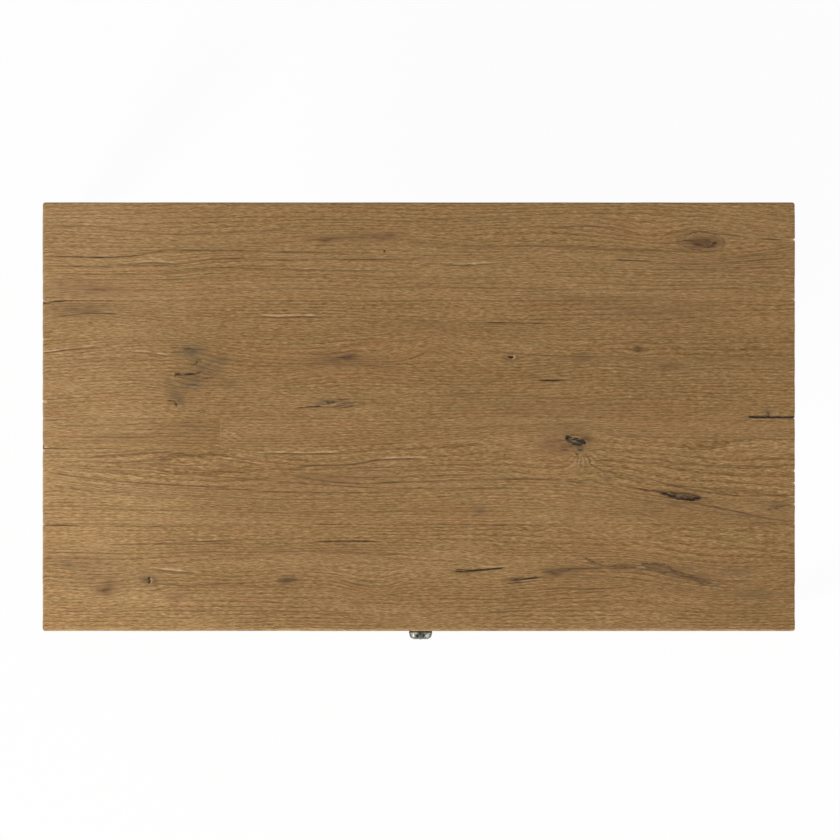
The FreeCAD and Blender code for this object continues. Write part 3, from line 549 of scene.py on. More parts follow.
            (504.5, 456, 1.2, 3.2, 0.6, 0.2, 0), (682, 469.5, 5, 1.2, 0.4, 0.3, 0),
            (777, 506, 12, 4, 0.16, 0.3, 0.3), (608, 478, 4.4, 2.6, 0.4, 0.3, 0.5),
            (330, 478, 60, 8, 0.1, 0.4, 0), (560, 440, 26, 14, 0.1, 0.3, 0),
        ],
        "strokes": {
            "line": [
                (0.5, [(222, 430, 0.5), (230, 434.6, 0.7), (238, 440, 0.5)]),
                (0.45, [(226, 427, 0.5), (236, 432.4, 0.7), (244, 437, 0.5)]),
                (0.4, [(222, 436, 0.5), (228, 439.6, 0.6), (234, 443, 0.4)]),
                (0.8, [(700, 497.7, 0.9), (708, 497.2, 0.6)]),
                (0.8, [(656.7, 482.3, 0.5), (675, 485.7, 0.8), (687.3, 489.2, 0.8),
                    (693.5, 490, 0.7), (721.8, 494.5, 0.6)]),
                (0.8, [(690, 502.6, 0.5), (700.3, 504.5, 0.8), (719.5, 508.3, 0.8),
                    (731, 509.5, 0.6)]),
                (0.7, [(602.6, 471.6, 0.5), (605.6, 474, 0.7), (606, 476.4, 0.5)]),
                (0.42, [(575.5, 456, 0.6), (572.4, 461.6, 0.7), (567, 465.4, 0.8),
                    (556, 468.4, 0.6)]),
                (0.38, [(571.9, 455.6, 0.5), (567, 460.6, 0.6), (558, 463.2, 0.7),
                    (544, 463, 0.5)]),
                (0.36, [(577.6, 457, 0.6), (577.6, 463, 0.7), (575.4, 468, 0.5)]),
                (0.32, [(580.8, 457, 0.6), (581.4, 464, 0.6), (580.2, 470, 0.4)]),
                (0.4, [(584.2, 458, 0.6), (585.6, 465, 0.9), (585.2, 473, 0.7)]),
                (0.75, [(586.6, 457, 0.6), (592.3, 465.4, 0.9), (598, 468.6, 1.0),
                    (604.4, 470.6, 0.7)]),
                (0.6, [(588.6, 454, 0.5), (596, 460.4, 0.8), (605, 464.4, 0.7),
                    (613, 466.4, 0.5)]),
                (0.5, [(590, 450, 0.5), (599, 454.6, 0.7), (610, 458.4, 0.5)]),
            ],
            "pale": [
                (0.35, [(223, 428.4, 0.5), (231, 433, 0.7), (240, 438.4, 0.5)]),
                (0.3, [(222, 433.4, 0.5), (228, 437, 0.7), (235, 441.4, 0.5)]),
                (0.22, [(572, 436.4, 0.6), (576, 437, 0.8), (580, 438.4, 0.5)]),
                (0.25, [(678, 495, 1.0), (681.4, 495.6, 1.2)]),
                (0.4, [(673.6, 499.4, 0.5), (680, 500.6, 0.8), (686, 500.6, 0.5)]),
                (0.24, [(579.2, 457, 0.6), (579.4, 462, 1.0), (579, 467, 0.6)]),
                (0.24, [(582.6, 457, 0.6), (583.4, 463, 1.0), (583.4, 468, 0.5)]),
                (0.2, [(575.4, 459, 0.6), (574, 463.6, 0.9), (570, 467, 0.6)]),
                (0.2, [(586, 460, 0.5), (590.6, 466, 0.9), (597, 470.6, 0.6)]),
                (0.3, [(774, 507, 0.5), (782, 508.4, 0.7), (788, 507.4, 0.5)]),
            ],
            "grey": [
                (1.3, [(568, 438.6, 3.0), (574, 441.4, 4.0), (581, 443.6, 4.8),
                    (580.5, 447.8, 3.2)]),
                (0.9, [(674, 494.6, 1.4), (680, 495.4, 2.0), (686, 496, 1.2)]),
            ],
            "dark": [
                (0.85, [(567, 438.5, 3.0), (573, 441.4, 3.8), (580, 443.6, 4.4),
                    (581, 447.4, 3.2)]),
                (0.9, [(570, 435, 0.8), (574.4, 433.9, 1.0), (578.4, 435, 0.7)]),
                (0.8, [(576.4, 451, 1.2), (576.6, 454, 1.6)]),
                (1.0, [(636, 488, 0.5), (646.8, 490.3, 0.7), (654.4, 491.5, 0.9),
                    (663, 492.2, 1.4)]),
                (1.5, [(662, 492.6, 1.6), (670, 494.6, 3.0), (682, 496.4, 4.0), (694, 497.4, 3.4),
                    (701, 497.8, 1.6)]),
                (0.9, [(768, 508.8, 0.5), (777, 508.2, 1.2), (784, 506.8, 0.6)]),
                (0.7, [(775, 505.8, 0.5), (784, 505.2, 0.9), (791, 505, 0.5)]),
            ],
            "black": [
                (0.95, [(565.4, 439, 1.2), (568.2, 437.4, 2.4), (570.6, 437.8, 1.4)]),
                (0.85, [(571.4, 439.4, 1.1), (577.6, 439.3, 1.5), (582.1, 440.4, 1.3),
                    (585.4, 442.4, 1.3), (584.8, 444.8, 1.0)]),
                (0.42, [(568, 440.2, 2.2), (574, 442.0, 3.4), (580, 443.2, 3.8),
                    (582.4, 446.4, 2.8)]), (0.5, [(579, 447.6, 1.0), (582.6, 448.6, 1.4)]),
                (0.4, [(576.3, 450.8, 0.8), (576.6, 452.4, 0.6)]),
                (0.9, [(664, 493, 0.9), (670, 495, 1.4), (674, 496.6, 1.6), (680, 498.6, 1.2),
                    (688, 499.6, 1.2), (694, 499.2, 1.5), (699, 498.6, 1.0)]),
            ],
        },
        "notches": [
            ("left", 450.5, 0.5, 0.8), ("right", 471, 0.7, 0.8), ("right", 483, 0.7, 0.8),
            ("right", 504, 0.7, 0.8),
        ],
    },
    "top_board_4": {
        "seed": 53, "spacing": 0.0052, "tone": -0.01, "contrast": 0.98,
        "fine": [(149, 6), (106, 8), (465, 12), (655, 40), (287, 9)],
        "flow": [
            [(42, 524), (795, 524)],
            [(42, 541), (155, 542), (228, 543), (383, 541), (540, 545), (640, 552), (700, 562),
                (795, 560)],
            [(42, 562), (150, 564), (300, 560), (430, 562), (508, 566), (580, 566), (640, 565),
                (690, 575), (723, 580), (795, 578)],
            [(42, 578), (106, 580), (150, 573), (220, 578), (337, 578), (362, 585), (383, 586),
                (400, 580), (505, 580), (550, 576), (620, 580), (715, 590), (795, 590)],
            [(42, 600), (106, 599), (150, 596), (280, 598), (370, 600), (500, 596), (560, 592),
                (617, 590), (720, 602), (795, 600)], [(42, 631), (795, 631)],
        ],
        "growth": [
            (0.6, 0.6, [(98, 544.2), (155, 543.6), (190, 542.2), (240, 541)]),
            (0.7, 0.6, [(140, 582), (165, 584.4), (195, 585.2), (222, 584.2), (250, 582)]),
            (0.8, 0.6, [(337, 578), (362, 585), (383, 585.5), (398, 580.5)]),
            (0.7, 0.45, [(345, 574), (365, 580), (384, 580), (396, 575)]),
            (0.6, 0.6, [(540, 571), (580, 568), (607, 566), (640, 566), (670, 573), (690, 578),
                (715, 585.5)]), (0.6, 0.6, [(580, 556), (592, 560), (604, 566)]),
            (0.8, 0.6, [(700, 579), (723, 581), (745, 581), (762, 580)]),
            (0.7, 0.4, [(620, 560), (660, 566), (700, 577), (740, 586)]),
            (0.6, 0.4, [(560, 578), (610, 577), (660, 583), (700, 592)]),
            (0.7, 0.85, [(536, 589), (560, 588.4), (585, 588.4), (612, 587.6), (640, 586.6)]),
            (0.6, 0.4, [(43, 552), (150, 553), (280, 551), (420, 554)]),
            (0.6, 0.35, [(43, 612), (190, 610), (380, 614), (560, 610), (790, 613)]),
            (0.6, 0.35, [(180, 588), (260, 586), (330, 590)]),
            (0.6, 0.35, [(430, 598), (520, 600), (640, 603), (790, 606)]),
        ],
        "cracks": [
            (0.45, [(28, 525.6), (65, 525.4), (88, 525.2)]),
            (0.6, [(308, 523.8), (330, 524), (349, 524)]),
            (0.6, [(458, 524.5), (500, 524.8), (535, 524.7)]),
            (0.6, [(308, 541), (345, 541), (385, 541)]),
            (0.9, [(450, 571), (466, 571), (482, 570), (510, 567)]),
            (0.7, [(505, 581), (525, 579), (550, 575)]),
            (0.18, [(560, 588.2), (578, 588.6), (590, 588.2), (610, 587.6)]),
        ],
        "scrapes": [
            (1.4, [(146, 567.4), (160, 569), (180, 570.8), (198, 571.2)]),
            (1.0, [(26, 524), (55, 523.9), (76, 524.2)]),
            (0.5, [(180, 541.2), (205, 540.4), (236, 539.8)]),
            (0.8, [(318, 522.6), (335, 522.4), (352, 522.6)]),
            (0.9, [(478, 568), (495, 567), (512, 565.5)]),
            (0.8, [(636, 567.8), (642, 567.4), (650, 568)]),
        ],
        "knots": [
            (106, 590, 10, 6, 0.35, 0.5), (149, 580, 8, 7, 0.2, 0.0), (555, 574, 9, 4, 0.3, 0.2),
            (287, 580, 10, 4, 0.25, 0.1),
        ],
        "stains": [
            (149, 580, 9, 4.4, 0.5, 0.0, 0.7), (80, 560, 40, 9, 0.0, 0.35, 0.0),
            (104, 590, 7, 3.4, 0.4, 0.4, 0), (71, 564, 12, 4, 0.15, 0.0, 0.6),
            (110, 583, 16, 2.4, 0.3, 0.3, 0.1), (350, 555, 50, 9, 0.0, 0.25, 0),
            (287, 580, 9, 3.2, 0.5, 0.1, 0.5), (296, 579, 4, 1.6, 0.4, 0.1, 0.3),
            (176, 596, 12, 5, 0.12, 0.6, 0), (555, 573, 8, 2.6, 0.5, 0.2, 0.2),
            (466, 571, 14, 2.4, 0.5, 0.1, 0.2), (660, 568, 34, 3.4, 0.3, 0.25, 0.2),
            (690, 576, 22, 3.4, 0.3, 0.25, 0.2), (755, 595, 14, 4, 0.14, 0.1, 0.4),
            (737, 571, 16, 4, 0.16, 0.1, 0.4), (560, 570, 22, 4, 0.2, 0.2, 0.3),
            (110, 580, 40, 10, 0.06, 0.1, 0.2),
        ],
        "strokes": {
            "black": [
                (1.0, [(149.2, 577.6, 0.9), (149, 580, 1.2), (149.3, 582.8, 0.8)]),
                (0.7, [(103, 589.6, 0.7), (106, 589.8, 1.0), (108, 590.8, 0.5)]),
                (0.8, [(453, 570.8, 0.6), (462, 570.4, 1.5), (472, 569.6, 1.2),
                    (482, 568.8, 0.5)]), (0.45, [(552, 573, 0.8), (557, 573.4, 1.1)]),
            ],
            "pale": [
                (0.5, [(151.2, 577.6, 0.4), (151.4, 580.4, 0.7), (151, 583, 0.4)]),
                (0.35, [(518, 580.4, 0.6), (530, 580, 0.7)]),
                (0.4, [(637, 566.2, 0.5), (640.6, 566.9, 1.1), (644.6, 568.2, 0.6)]),
            ],
            "dark": [
                (0.7, [(504, 580, 1.0), (512, 579, 2.4), (524, 578.4, 1.3), (538, 577.2, 0.7)]),
                (0.6, [(508, 583, 0.7), (520, 582.4, 1.2), (534, 580.8, 0.6)]),
                (0.7, [(544, 572, 1.2), (550, 572.4, 2.0), (556, 572.8, 2.6), (562, 571.4, 1.8)]),
                (0.75, [(562, 570.4, 0.9), (572, 569.4, 1.1), (584, 568.6, 0.8),
                    (600, 567.8, 0.6)]),
                (0.7, [(582, 556.8, 0.7), (591.8, 561.7, 1.5), (598, 564, 1.2),
                    (604, 565.6, 1.3)]),
                (0.8, [(604, 566, 0.6), (616, 566.4, 0.9), (626, 566.6, 1.0), (636, 566.6, 0.9)]),
                (0.6, [(610, 568.6, 0.6), (622, 568.8, 1.0), (634, 568.4, 0.7)]),
                (0.65, [(642.6, 564.8, 0.9), (654, 564.2, 1.4), (665, 564.8, 1.2)]),
                (0.65, [(644, 568.6, 0.6), (656, 571, 0.9), (664, 572.4, 1.2), (672, 572, 1.3),
                    (684, 573.6, 1.1)]),
                (0.6, [(682, 574, 1.0), (692, 577.2, 1.7), (702, 580.4, 1.9), (711, 583, 1.1)]),
            ],
            "grey": [
                (0.45, [(636, 567.6, 1.6), (648, 567.6, 2.2), (662, 568.4, 2.6),
                    (676, 571.6, 2.0)]), (0.9, [(714.6, 584.6, 1.2), (718.4, 585.8, 1.6)]),
            ],
            "line": [
                (0.8, [(668, 566, 0.6), (672, 570.6, 0.9), (676, 572, 0.6)]),
                (0.7, [(694, 581.6, 0.6), (704, 584.2, 0.9), (714, 585.8, 0.7)]),
                (0.7, [(279, 579.5, 0.7), (287, 580.6, 1.5), (295, 579.2, 0.8)]),
            ],
        },
        "notches": [("left", 524.2, 1.4, 1.6)],
    },
    "let_in_strip": {
        "seed": 71, "spacing": 0.005, "tone": -0.02, "contrast": 0.84,
        "fine": [],
        "flow": [
            [(42, 418), (224, 418)], [(42, 428), (130, 427), (224, 430)],
            [(42, 438), (120, 439), (224, 437)], [(42, 448), (224, 448)],
        ],
        "growth": [
            (0.6, 0.45, [(43, 425), (90, 426), (140, 424), (220, 427)]),
            (0.6, 0.4, [(43, 436), (110, 437), (180, 436), (220, 438)]),
            (0.6, 0.35, [(60, 443), (140, 442), (218, 444)]),
        ],
        "cracks": [],
        "scrapes": [(0.9, [(40, 419), (55, 419), (74, 419)])],
        "knots": [],
        "stains": [(120, 436, 20, 4, 0.1, 0.2, 0.2), (196, 429, 20, 8, 0.03, 0.1, 0.25)],
        "strokes": {},
        "notches": [("left", 418.5, 0.8, 1.0), ("left", 446.6, 1.1, 1.8)],
    },
}

# how every plank is cut; lengths in metres but for rowStep, which is in pixels
plankMake = {
    "columns": 370,            # grid lines across the photograph
    "fewestColumns": 40,
    "crowding": 2.2,           # how much closer they stand at the fine places
    "crowdSamples": 2000,
    "rowStep": 0.45,
    "rowLimit": 235,           # keeps the widest plank under 200,000 triangles
    "cornerRadius": 0.0036,
    "cornerSteps": 5,
    "outerArris": 0.0019,
    "jointArris": 0.0004,
    "jointSquareness": 0.8,
    "sideFrom": 0.7,           # a direction that leans this far across a side is the side's
    "sideLevels": (0.35, 0.65),
    "bevelShare": 0.3,
    "stripCorner": 1.5,        # the strip's corner radius, in arrises of a joint
    "stripSharpness": 20,      # how much finer its arris is where it lies against the board
    "waveHeight": 0.00016,
    "waveShare": 0.4,          # of the thickness, where the waves die out
    "ridgeHeight": 0.00007,
    "gougeDepth": 0.00028,
    "crackDepth": 0.0014,
    "darkDepth": 0.00010,
    "endGrainFrom": 5,         # the level below the face where end grain starts
    "edgeWave": 0.00035,
    "longEdgeShare": 0.4,
    "longEdgeReach": 0.02,
    "endReach": 0.014,
}
# the outer long side of each board that has one: 1 at the back, -1 at the front
outerSides = {"top_board_1": 1, "top_board_4": -1}
stripLow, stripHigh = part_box("let_in_strip")
rebateShape = {
    "node": "top_board_3",
    "right": toPhoto(stripHigh.x, stripLow.y)[0],
    "front": toPhoto(stripHigh.x, stripLow.y)[1],
    "depth": stripHigh.z - stripLow.z - 0.0002,
    "wall": (-0.15, -0.02),    # pixels: its foot and its upper edge, just under the strip
}

# The unevenness of each thing: which of the plank's own reliefs it takes, its middle, its
# swing, and the length of its waves across and down, in pixels
unevenness = {
    "grainBend": (0, 0.0, 1.3, 75, 16),
    "grainRipple": (1, 0.0, 0.5, 26, 7),
    "wobble": (2, 0.0, 0.7, 22, 30),
    "growthBreaks": (3, 0.85, 0.50, 9, 3),
    "crackWidth": (4, 1.15, 0.35, 9, 40),
    "ragged": (5, 0.70, 0.45, 7, 1.6),
    "knotRings": (6, 0.0, 2.5, 8, 2),
    "waves": (7, -1.0, 1.0, 70, 22),
    "ridges": (8, -1.0, 1.0, 46, 2.2),
    "longEdge": (9, -1.0, 1.0, 30, 1),
    "end": (10, 1.0, 1.0, 1, 9),
    "gougeHighlightBreaks": (11, 0.75, 0.35, 6, 3),
    "shakenAcross": (12, 0.0, 1.1, 3.5, 2.5),
    "shakenDown": (13, 0.0, 0.8, 3.5, 2.5),
    "edgeHighlightAndWear": (14, 0.75, 0.4, 24, 6),
    "crumbled": (15, 0.78, 0.42, 4.5, 1.2),
}

# how the marks are laid on: fades in pixels, reaches and shifts by a mark's own half width
plankMarksAndLight = {
    "leastBand": 0.5,          # pixels between two flow lines
    "growthFade": 22,
    "crackFade": 12,
    "crackWobble": 0.4,
    "crackStart": 0.40,        # the darkness of the finest check
    "crackRise": 0.5,          # and what each pixel of half width adds
    "gougeFade": 14,
    # a gouge's painted highlight on its back side, then the painted shade in front of it
    "highlightReach": 0.75,
    "highlightShift": -0.4,
    "highlightWobble": 0.5,
    "highlightPaleness": 0.62,
    "shadeReach": 0.5,
    "shadeShift": 0.9,
    "shadeWobble": 0.4,
    "shadeDarkness": 0.6,
    "cutReach": 1.3,
    "cutFade": 16,
    "knotRings": 8,
    "knotRingShare": 0.2,
    "knotSharpness": 1.2,
    "knotBendReach": 1.6,
    "knotBend": 0.4,
    "blackFrom": 0.85,         # a stain this dark is a hole
    "holeBlackness": 1.3,
    # the front and left edges, which face the key lamp, are painted pale: a painted highlight,
    # partly wear
    "frontHighlightAndWear": (2.2, 0.55),   # reach in pixels and paleness
    "leftHighlightAndWear": (1.4, 0.30),
    # the pale painted highlight at each notch
    "notchHighlight": 0.95,
    "notchHighlightAcross": 2.2,
    "notchHighlightDown": 1.2,
}


def uneven(across, down, look, name):
    order, middle, swing, lengthAcross, lengthDown = unevenness[name]
    return middle + swing * ripple(across, down, look["seed"] + order, lengthAcross, lengthDown)


def growthFlow(across, down, look):
    # The grain's own coordinate, in pixels: constant along each flow line, in proportion
    # between two of them, pushed aside by the knots, with a little wander of its own
    wear = plankMarksAndLight
    lines = [curve(across, points) for points in look["flow"]]
    values = [points[0][1] for points in look["flow"]]
    flow = values[0] + np.minimum(down - lines[0], 0)
    for above, below, start, end in zip(lines[:-1], lines[1:], values[:-1], values[1:]):
        share = (down - above) / np.maximum(below - above, wear["leastBand"])
        flow = flow + (end - start) * np.clip(share, 0, 1)
    flow = flow + np.maximum(down - lines[-1], 0)
    for knot in look["knots"]:
        x, y, reachX, reachY = knot[:4]
        beside = spotMask(across, down, x, y, reachX * wear["knotBendReach"],
                          reachY * wear["knotBendReach"])
        flow = flow - (down - y) * wear["knotBend"] * beside
    flow = flow + uneven(across, down, look, "grainBend")
    return flow + uneven(across, down, look, "grainRipple")


def plankMarks(across, down, look):
    # Shares of darkness, red, grey, black, paleness and drawn lines, from 0 up
    wear = plankMarksAndLight
    names = ("dark", "red", "grey", "black", "pale", "line")
    marks = {name: np.zeros_like(across) for name in names}

    def lay(name, mask):
        # the stronger of what is there and the mask
        marks[name] = np.maximum(marks[name], mask)

    wobble = uneven(across, down, look, "wobble")
    broken = uneven(across, down, look, "growthBreaks")
    for reach, strength, points in look["growth"]:
        line = lineMask(across, down + wobble, points, reach, wear["growthFade"])
        lay("line", line * strength * broken)
    # the black of a check is its dark gap with painted shade inside it
    width = uneven(across, down, look, "crackWidth")
    for half, points in look["cracks"]:
        line = lineMask(across, down + wear["crackWobble"] * wobble, points, half * width,
                        wear["crackFade"])
        lay("black", line * min(1, wear["crackStart"] + wear["crackRise"] * half))
    # each gouge is painted pale on its back side as a highlight, and dark in front as shade
    worn = uneven(across, down, look, "gougeHighlightBreaks")
    for half, points in look["scrapes"]:
        floor = lineMask(across, down + wear["highlightWobble"] * wobble, points,
                         half * wear["highlightReach"] * worn, wear["gougeFade"],
                         half * wear["highlightShift"])
        lay("pale", wear["highlightPaleness"] * floor * worn)
        shade = lineMask(across, down + wear["shadeWobble"] * wobble, points,
                         half * wear["shadeReach"], wear["gougeFade"],
                         half * wear["shadeShift"])
        lay("dark", wear["shadeDarkness"] * shade)
    ragged = uneven(across, down, look, "ragged")
    turns = uneven(across, down, look, "knotRings")
    for x, y, reachX, reachY, dark, red in look["knots"]:
        away = np.hypot((across - x) / reachX, (down - y) / reachY)
        rings = 0.5 + 0.5 * np.cos(away * wear["knotRings"] + turns)
        soft = np.exp(-away ** 2 * wear["knotSharpness"])
        ringed = 1 - wear["knotRingShare"] * (1 - rings)
        marks["dark"] = marks["dark"] + dark * soft * ringed * ragged
        lay("red", red * soft)
    for x, y, reachX, reachY, dark, red, grey in look["stains"]:
        spot = spotMask(across, down, x, y, reachX, reachY) * ragged
        # dark enough, it is a hole, whose black is partly painted shade inside it
        if dark < wear["blackFrom"]:
            marks["dark"] = marks["dark"] + spot * dark
        else:
            lay("black", spot * wear["holeBlackness"])
        lay("red", spot * red)
        lay("grey", spot * grey)
    shakenX = across + uneven(across, down, look, "shakenAcross")
    shakenY = down + uneven(across, down, look, "shakenDown")
    crumbled = uneven(across, down, look, "crumbled")
    for name, strokes in look["strokes"].items():
        for strength, points in strokes:
            lay(name, strokeMask(shakenX, shakenY, points) * strength * crumbled)
    # a painted highlight along the front and left edges, partly wear
    highlitAndWorn = uneven(across, down, look, "edgeHighlightAndWear")
    for away, (reach, paleness) in ((photo["front"] - down, wear["frontHighlightAndWear"]),
                                    (across - photo["left"], wear["leftHighlightAndWear"])):
        lay("pale", paleness * highlitAndWorn * bell(away / reach))
    # a pale painted highlight at each notch
    for side, place, reach, depth in look["notches"]:
        chip = spotMask(across, down, photo[side], place, depth * wear["notchHighlightAcross"],
                        reach * wear["notchHighlightDown"])
        lay("pale", wear["notchHighlight"] * chip)
    return marks


def plankRelief(across, down, flow, marks, look):
    # Height against the planed face, never above it: soft waves, ridges that follow the
    # grain, and the cuts
    make = plankMake
    relief = make["waveHeight"] * uneven(across, down, look, "waves")
    relief += make["ridgeHeight"] * uneven(across, flow, look, "ridges")
    for half, points in look["scrapes"]:
        cut = lineMask(across, down, points, half * plankMarksAndLight["cutReach"], plankMarksAndLight["cutFade"])
        relief -= make["gougeDepth"] * cut * half
    return relief - make["crackDepth"] * marks["black"] - make["darkDepth"] * marks["dark"]


def spaced(low, high, count, fine, exact):
    # Spaced places, closer together in a flat bell round each fine one, which is given with
    # its reach; the exact ones take the place of their nearest neighbours
    sample = np.linspace(low, high, plankMake["crowdSamples"])
    crowd = np.ones_like(sample)
    for place, reach in fine:
        near = np.exp(-((sample - place) / reach) ** 4)
        crowd = np.maximum(crowd, 1 + plankMake["crowding"] * near)
    total = np.concatenate([[0], np.cumsum((crowd[1:] + crowd[:-1]) / 2)])
    places = np.interp(np.linspace(0, total[-1], count), total, sample)
    for wanted in exact:
        places[np.argmin(np.abs(places - wanted))] = wanted
    return np.sort(places)


def plankGrid(node, radius):
    # the grid of the plank's face, in pixels, with lines on the walls of the rebate
    make = plankMake
    low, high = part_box(node)
    left, back = toPhoto(low.x + radius, high.y - radius)
    right, front = toPhoto(high.x - radius, low.y + radius)
    walls = {"right": (), "front": ()}
    if node == rebateShape["node"]:
        walls = {side: [rebateShape[side] + step for step in rebateShape["wall"]]
                 for side in walls}
    share = (right - left) / (photo["right"] - photo["left"])
    columns = max(int(make["columns"] * share), make["fewestColumns"])
    rows = min(int((front - back) / make["rowStep"]), make["rowLimit"])
    across = spaced(left, right, columns, planks[node]["fine"], walls["right"])
    down = spaced(back, front, rows, (), walls["front"])[::-1]
    return np.meshgrid(across, down, indexing="ij")


def plankFace(node, across, down, relief):
    # The grid in metres: the rebate sunk, the outer long sides a little wavy, and the ends
    # wavy and drawn in at their chips
    look = planks[node]
    make = plankMake
    low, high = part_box(node)
    if node == rebateShape["node"]:
        foot = rebateShape["wall"][0] / 2
        inside = (across < rebateShape["right"] + foot) & (down < rebateShape["front"] + foot)
        relief = np.where(inside, -rebateShape["depth"], relief)
    x = toX(across)
    y = toY(down)
    if node in outerSides:
        border = high.y if outerSides[node] > 0 else low.y
        near = steps(1 - np.abs(y - border) / make["longEdgeReach"])
        wave = make["edgeWave"] * make["longEdgeShare"] * uneven(across, 0, look, "longEdge")
        y = y + outerSides[node] * near * wave
    ends = {"left": (low.x, 1), "right": (high.x, -1)}
    if node == "let_in_strip":
        ends.pop("right")      # it lies against the board
    for side, (border, inwards) in ends.items():
        near = steps(1 - np.abs(x - border) / make["endReach"])
        x = x + inwards * near * make["edgeWave"] * uneven(0, down, look, "end")
        for where, place, reach, depth in look["notches"]:
            if where == side:
                chip = bell((down - place) / reach)
                x = x + inwards * near * depth * pixel * chip
    return np.stack([x, y, high.z + relief], -1).reshape(-1, 3)


def plankLoop(columns, rows):
    # The grid's border, anticlockwise from above: its indices and outward angles, with
    # several angles for each corner
    index = np.arange(columns * rows).reshape(columns, rows)
    sides = [(index[1:-1, 0], -90), (index[-1, 1:-1], 0),
             (index[1:-1, -1][::-1], 90), (index[0, 1:-1][::-1], 180)]
    corners = [(index[-1, 0], -90), (index[-1, -1], 0), (index[0, -1], 90), (index[0, 0], 180)]
    count = plankMake["cornerSteps"]
    places = []
    angles = []
    for (side, angle), (corner, start) in zip(sides, corners):
        places += [side, np.full(count, corner)]
        angles += [np.full(len(side), angle), start + np.linspace(0, 90, count)]
    return np.concatenate(places), np.radians(np.concatenate(angles))


def plankBorder(node, radius, angle):
    # For each place on the border: its outward direction and the arris it has, which is fine
    # at a joint. Corners at a joint are squarer: their directions reach further out
    make = plankMake
    outX = np.cos(angle)
    outY = np.sin(angle)
    atJoint = np.sign(outY) != outerSides.get(node, 0)
    isLong = np.abs(outY) > make["sideFrom"]
    arris = np.where(atJoint & isLong, make["jointArris"], make["outerArris"])
    if node == "let_in_strip":
        arris = np.where(outX > make["sideFrom"], arris / make["stripSharpness"],
                         np.minimum(arris, radius))
    squarer = np.maximum(np.abs(outX), np.abs(outY)) ** -make["jointSquareness"]
    squarer = np.where(atJoint, squarer, 1)
    return outX * squarer, outY * squarer, arris


def plankProfile(arris, radius, thick):
    # Rings below the face, as distances outwards and drops: flat to the arris, round it by
    # the sine and cosine of its bends, down the side, and in round a smaller bevel
    flat = np.zeros_like(arris)
    bevel = arris * plankMake["bevelShare"]
    rings = [((radius - arris) / 2, flat)]
    rings += [(radius - arris + arris * np.sin(bend), arris * (1 - np.cos(bend)))
              for bend in np.radians([0, 22.5, 45, 67.5, 90])]
    rings += [(flat + radius, flat + thick * share) for share in plankMake["sideLevels"]]
    rings += [(flat + radius, thick - arris),
              (radius - bevel, thick - bevel),
              (radius - arris, flat + thick)]
    return np.array(rings).transpose(1, 0, 2)


def plankSkirt(node, points, border, outX, outY, outwards, drops):
    # The rings' points: the waves of the face die out downwards, and beside the rebate the
    # rings start from its floor
    low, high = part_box(node)
    edge = points[border]
    held = np.clip(1 - drops / ((high.z - low.z) * plankMake["waveShare"]), 0, 1)
    surface = edge[:, 2] * held + high.z * (1 - held)
    height = np.maximum(surface - drops, low.z)
    if node == rebateShape["node"]:
        sunk = edge[:, 2] < high.z - rebateShape["depth"] / 2
        height = np.where(sunk, np.minimum(edge[:, 2], high.z - drops), height)
    rings = [edge[:, 0] + outX * outwards, edge[:, 1] + outY * outwards, height]
    return np.stack(rings, -1).reshape(-1, 3)


def plankFaces(shape, border, outX, levels):
    # Quads for the grid and between the rings, triangles where a corner of the grid opens
    # into several directions, and one face below; with each the number of its material,
    # which is end grain on the two ends
    index = np.arange(shape[0] * shape[1]).reshape(shape)
    face = np.stack([index[:-1, :-1], index[1:, :-1], index[1:, 1:], index[:-1, 1:]], -1)
    rings = index.size + np.arange(levels * len(border)).reshape(levels, -1)
    rings = np.concatenate([border[None], rings])
    beside = np.roll(rings, -1, 1)
    quads = np.stack([beside[:-1], rings[:-1], rings[1:], beside[1:]], -1).reshape(-1, 4)
    isLow = np.arange(levels)[:, None] >= plankMake["endGrainFrom"]
    isEnd = (np.abs(outX) > plankMake["sideFrom"]) & isLow
    atCorner = quads[:, 0] == quads[:, 1]
    faces = face.reshape(-1, 4).tolist() + quads[~atCorner].tolist()
    faces += quads[atCorner, 1:].tolist() + [rings[-1][::-1].tolist()]
    materials = np.zeros(len(faces), np.int32)
    start = face.shape[0] * face.shape[1]
    sides = isEnd.ravel()[~atCorner]
    materials[start:start + len(sides)] = sides
    return faces, materials


def closedPiece(name, points, faces):
    # a smooth piece, flat on the last of its faces, which closes it
    mesh = bpy.data.meshes.new(name)
    mesh.from_pydata(points, [], faces)
    mesh.polygons.foreach_set("use_smooth", [True] * (len(faces) - 1) + [False])
    return newObject(name, mesh)


def paintMesh(mesh, name, shares):
    # shares for each point of the mesh, one for each channel of the colour
    colours = np.ones((len(mesh.vertices), 4))
    for channel, share in enumerate(shares):
        colours[:, channel] = np.clip(share, 0, 1)
    layer = mesh.color_attributes.new(name, "FLOAT_COLOR", "POINT")
    layer.data.foreach_set("color", colours.ravel())


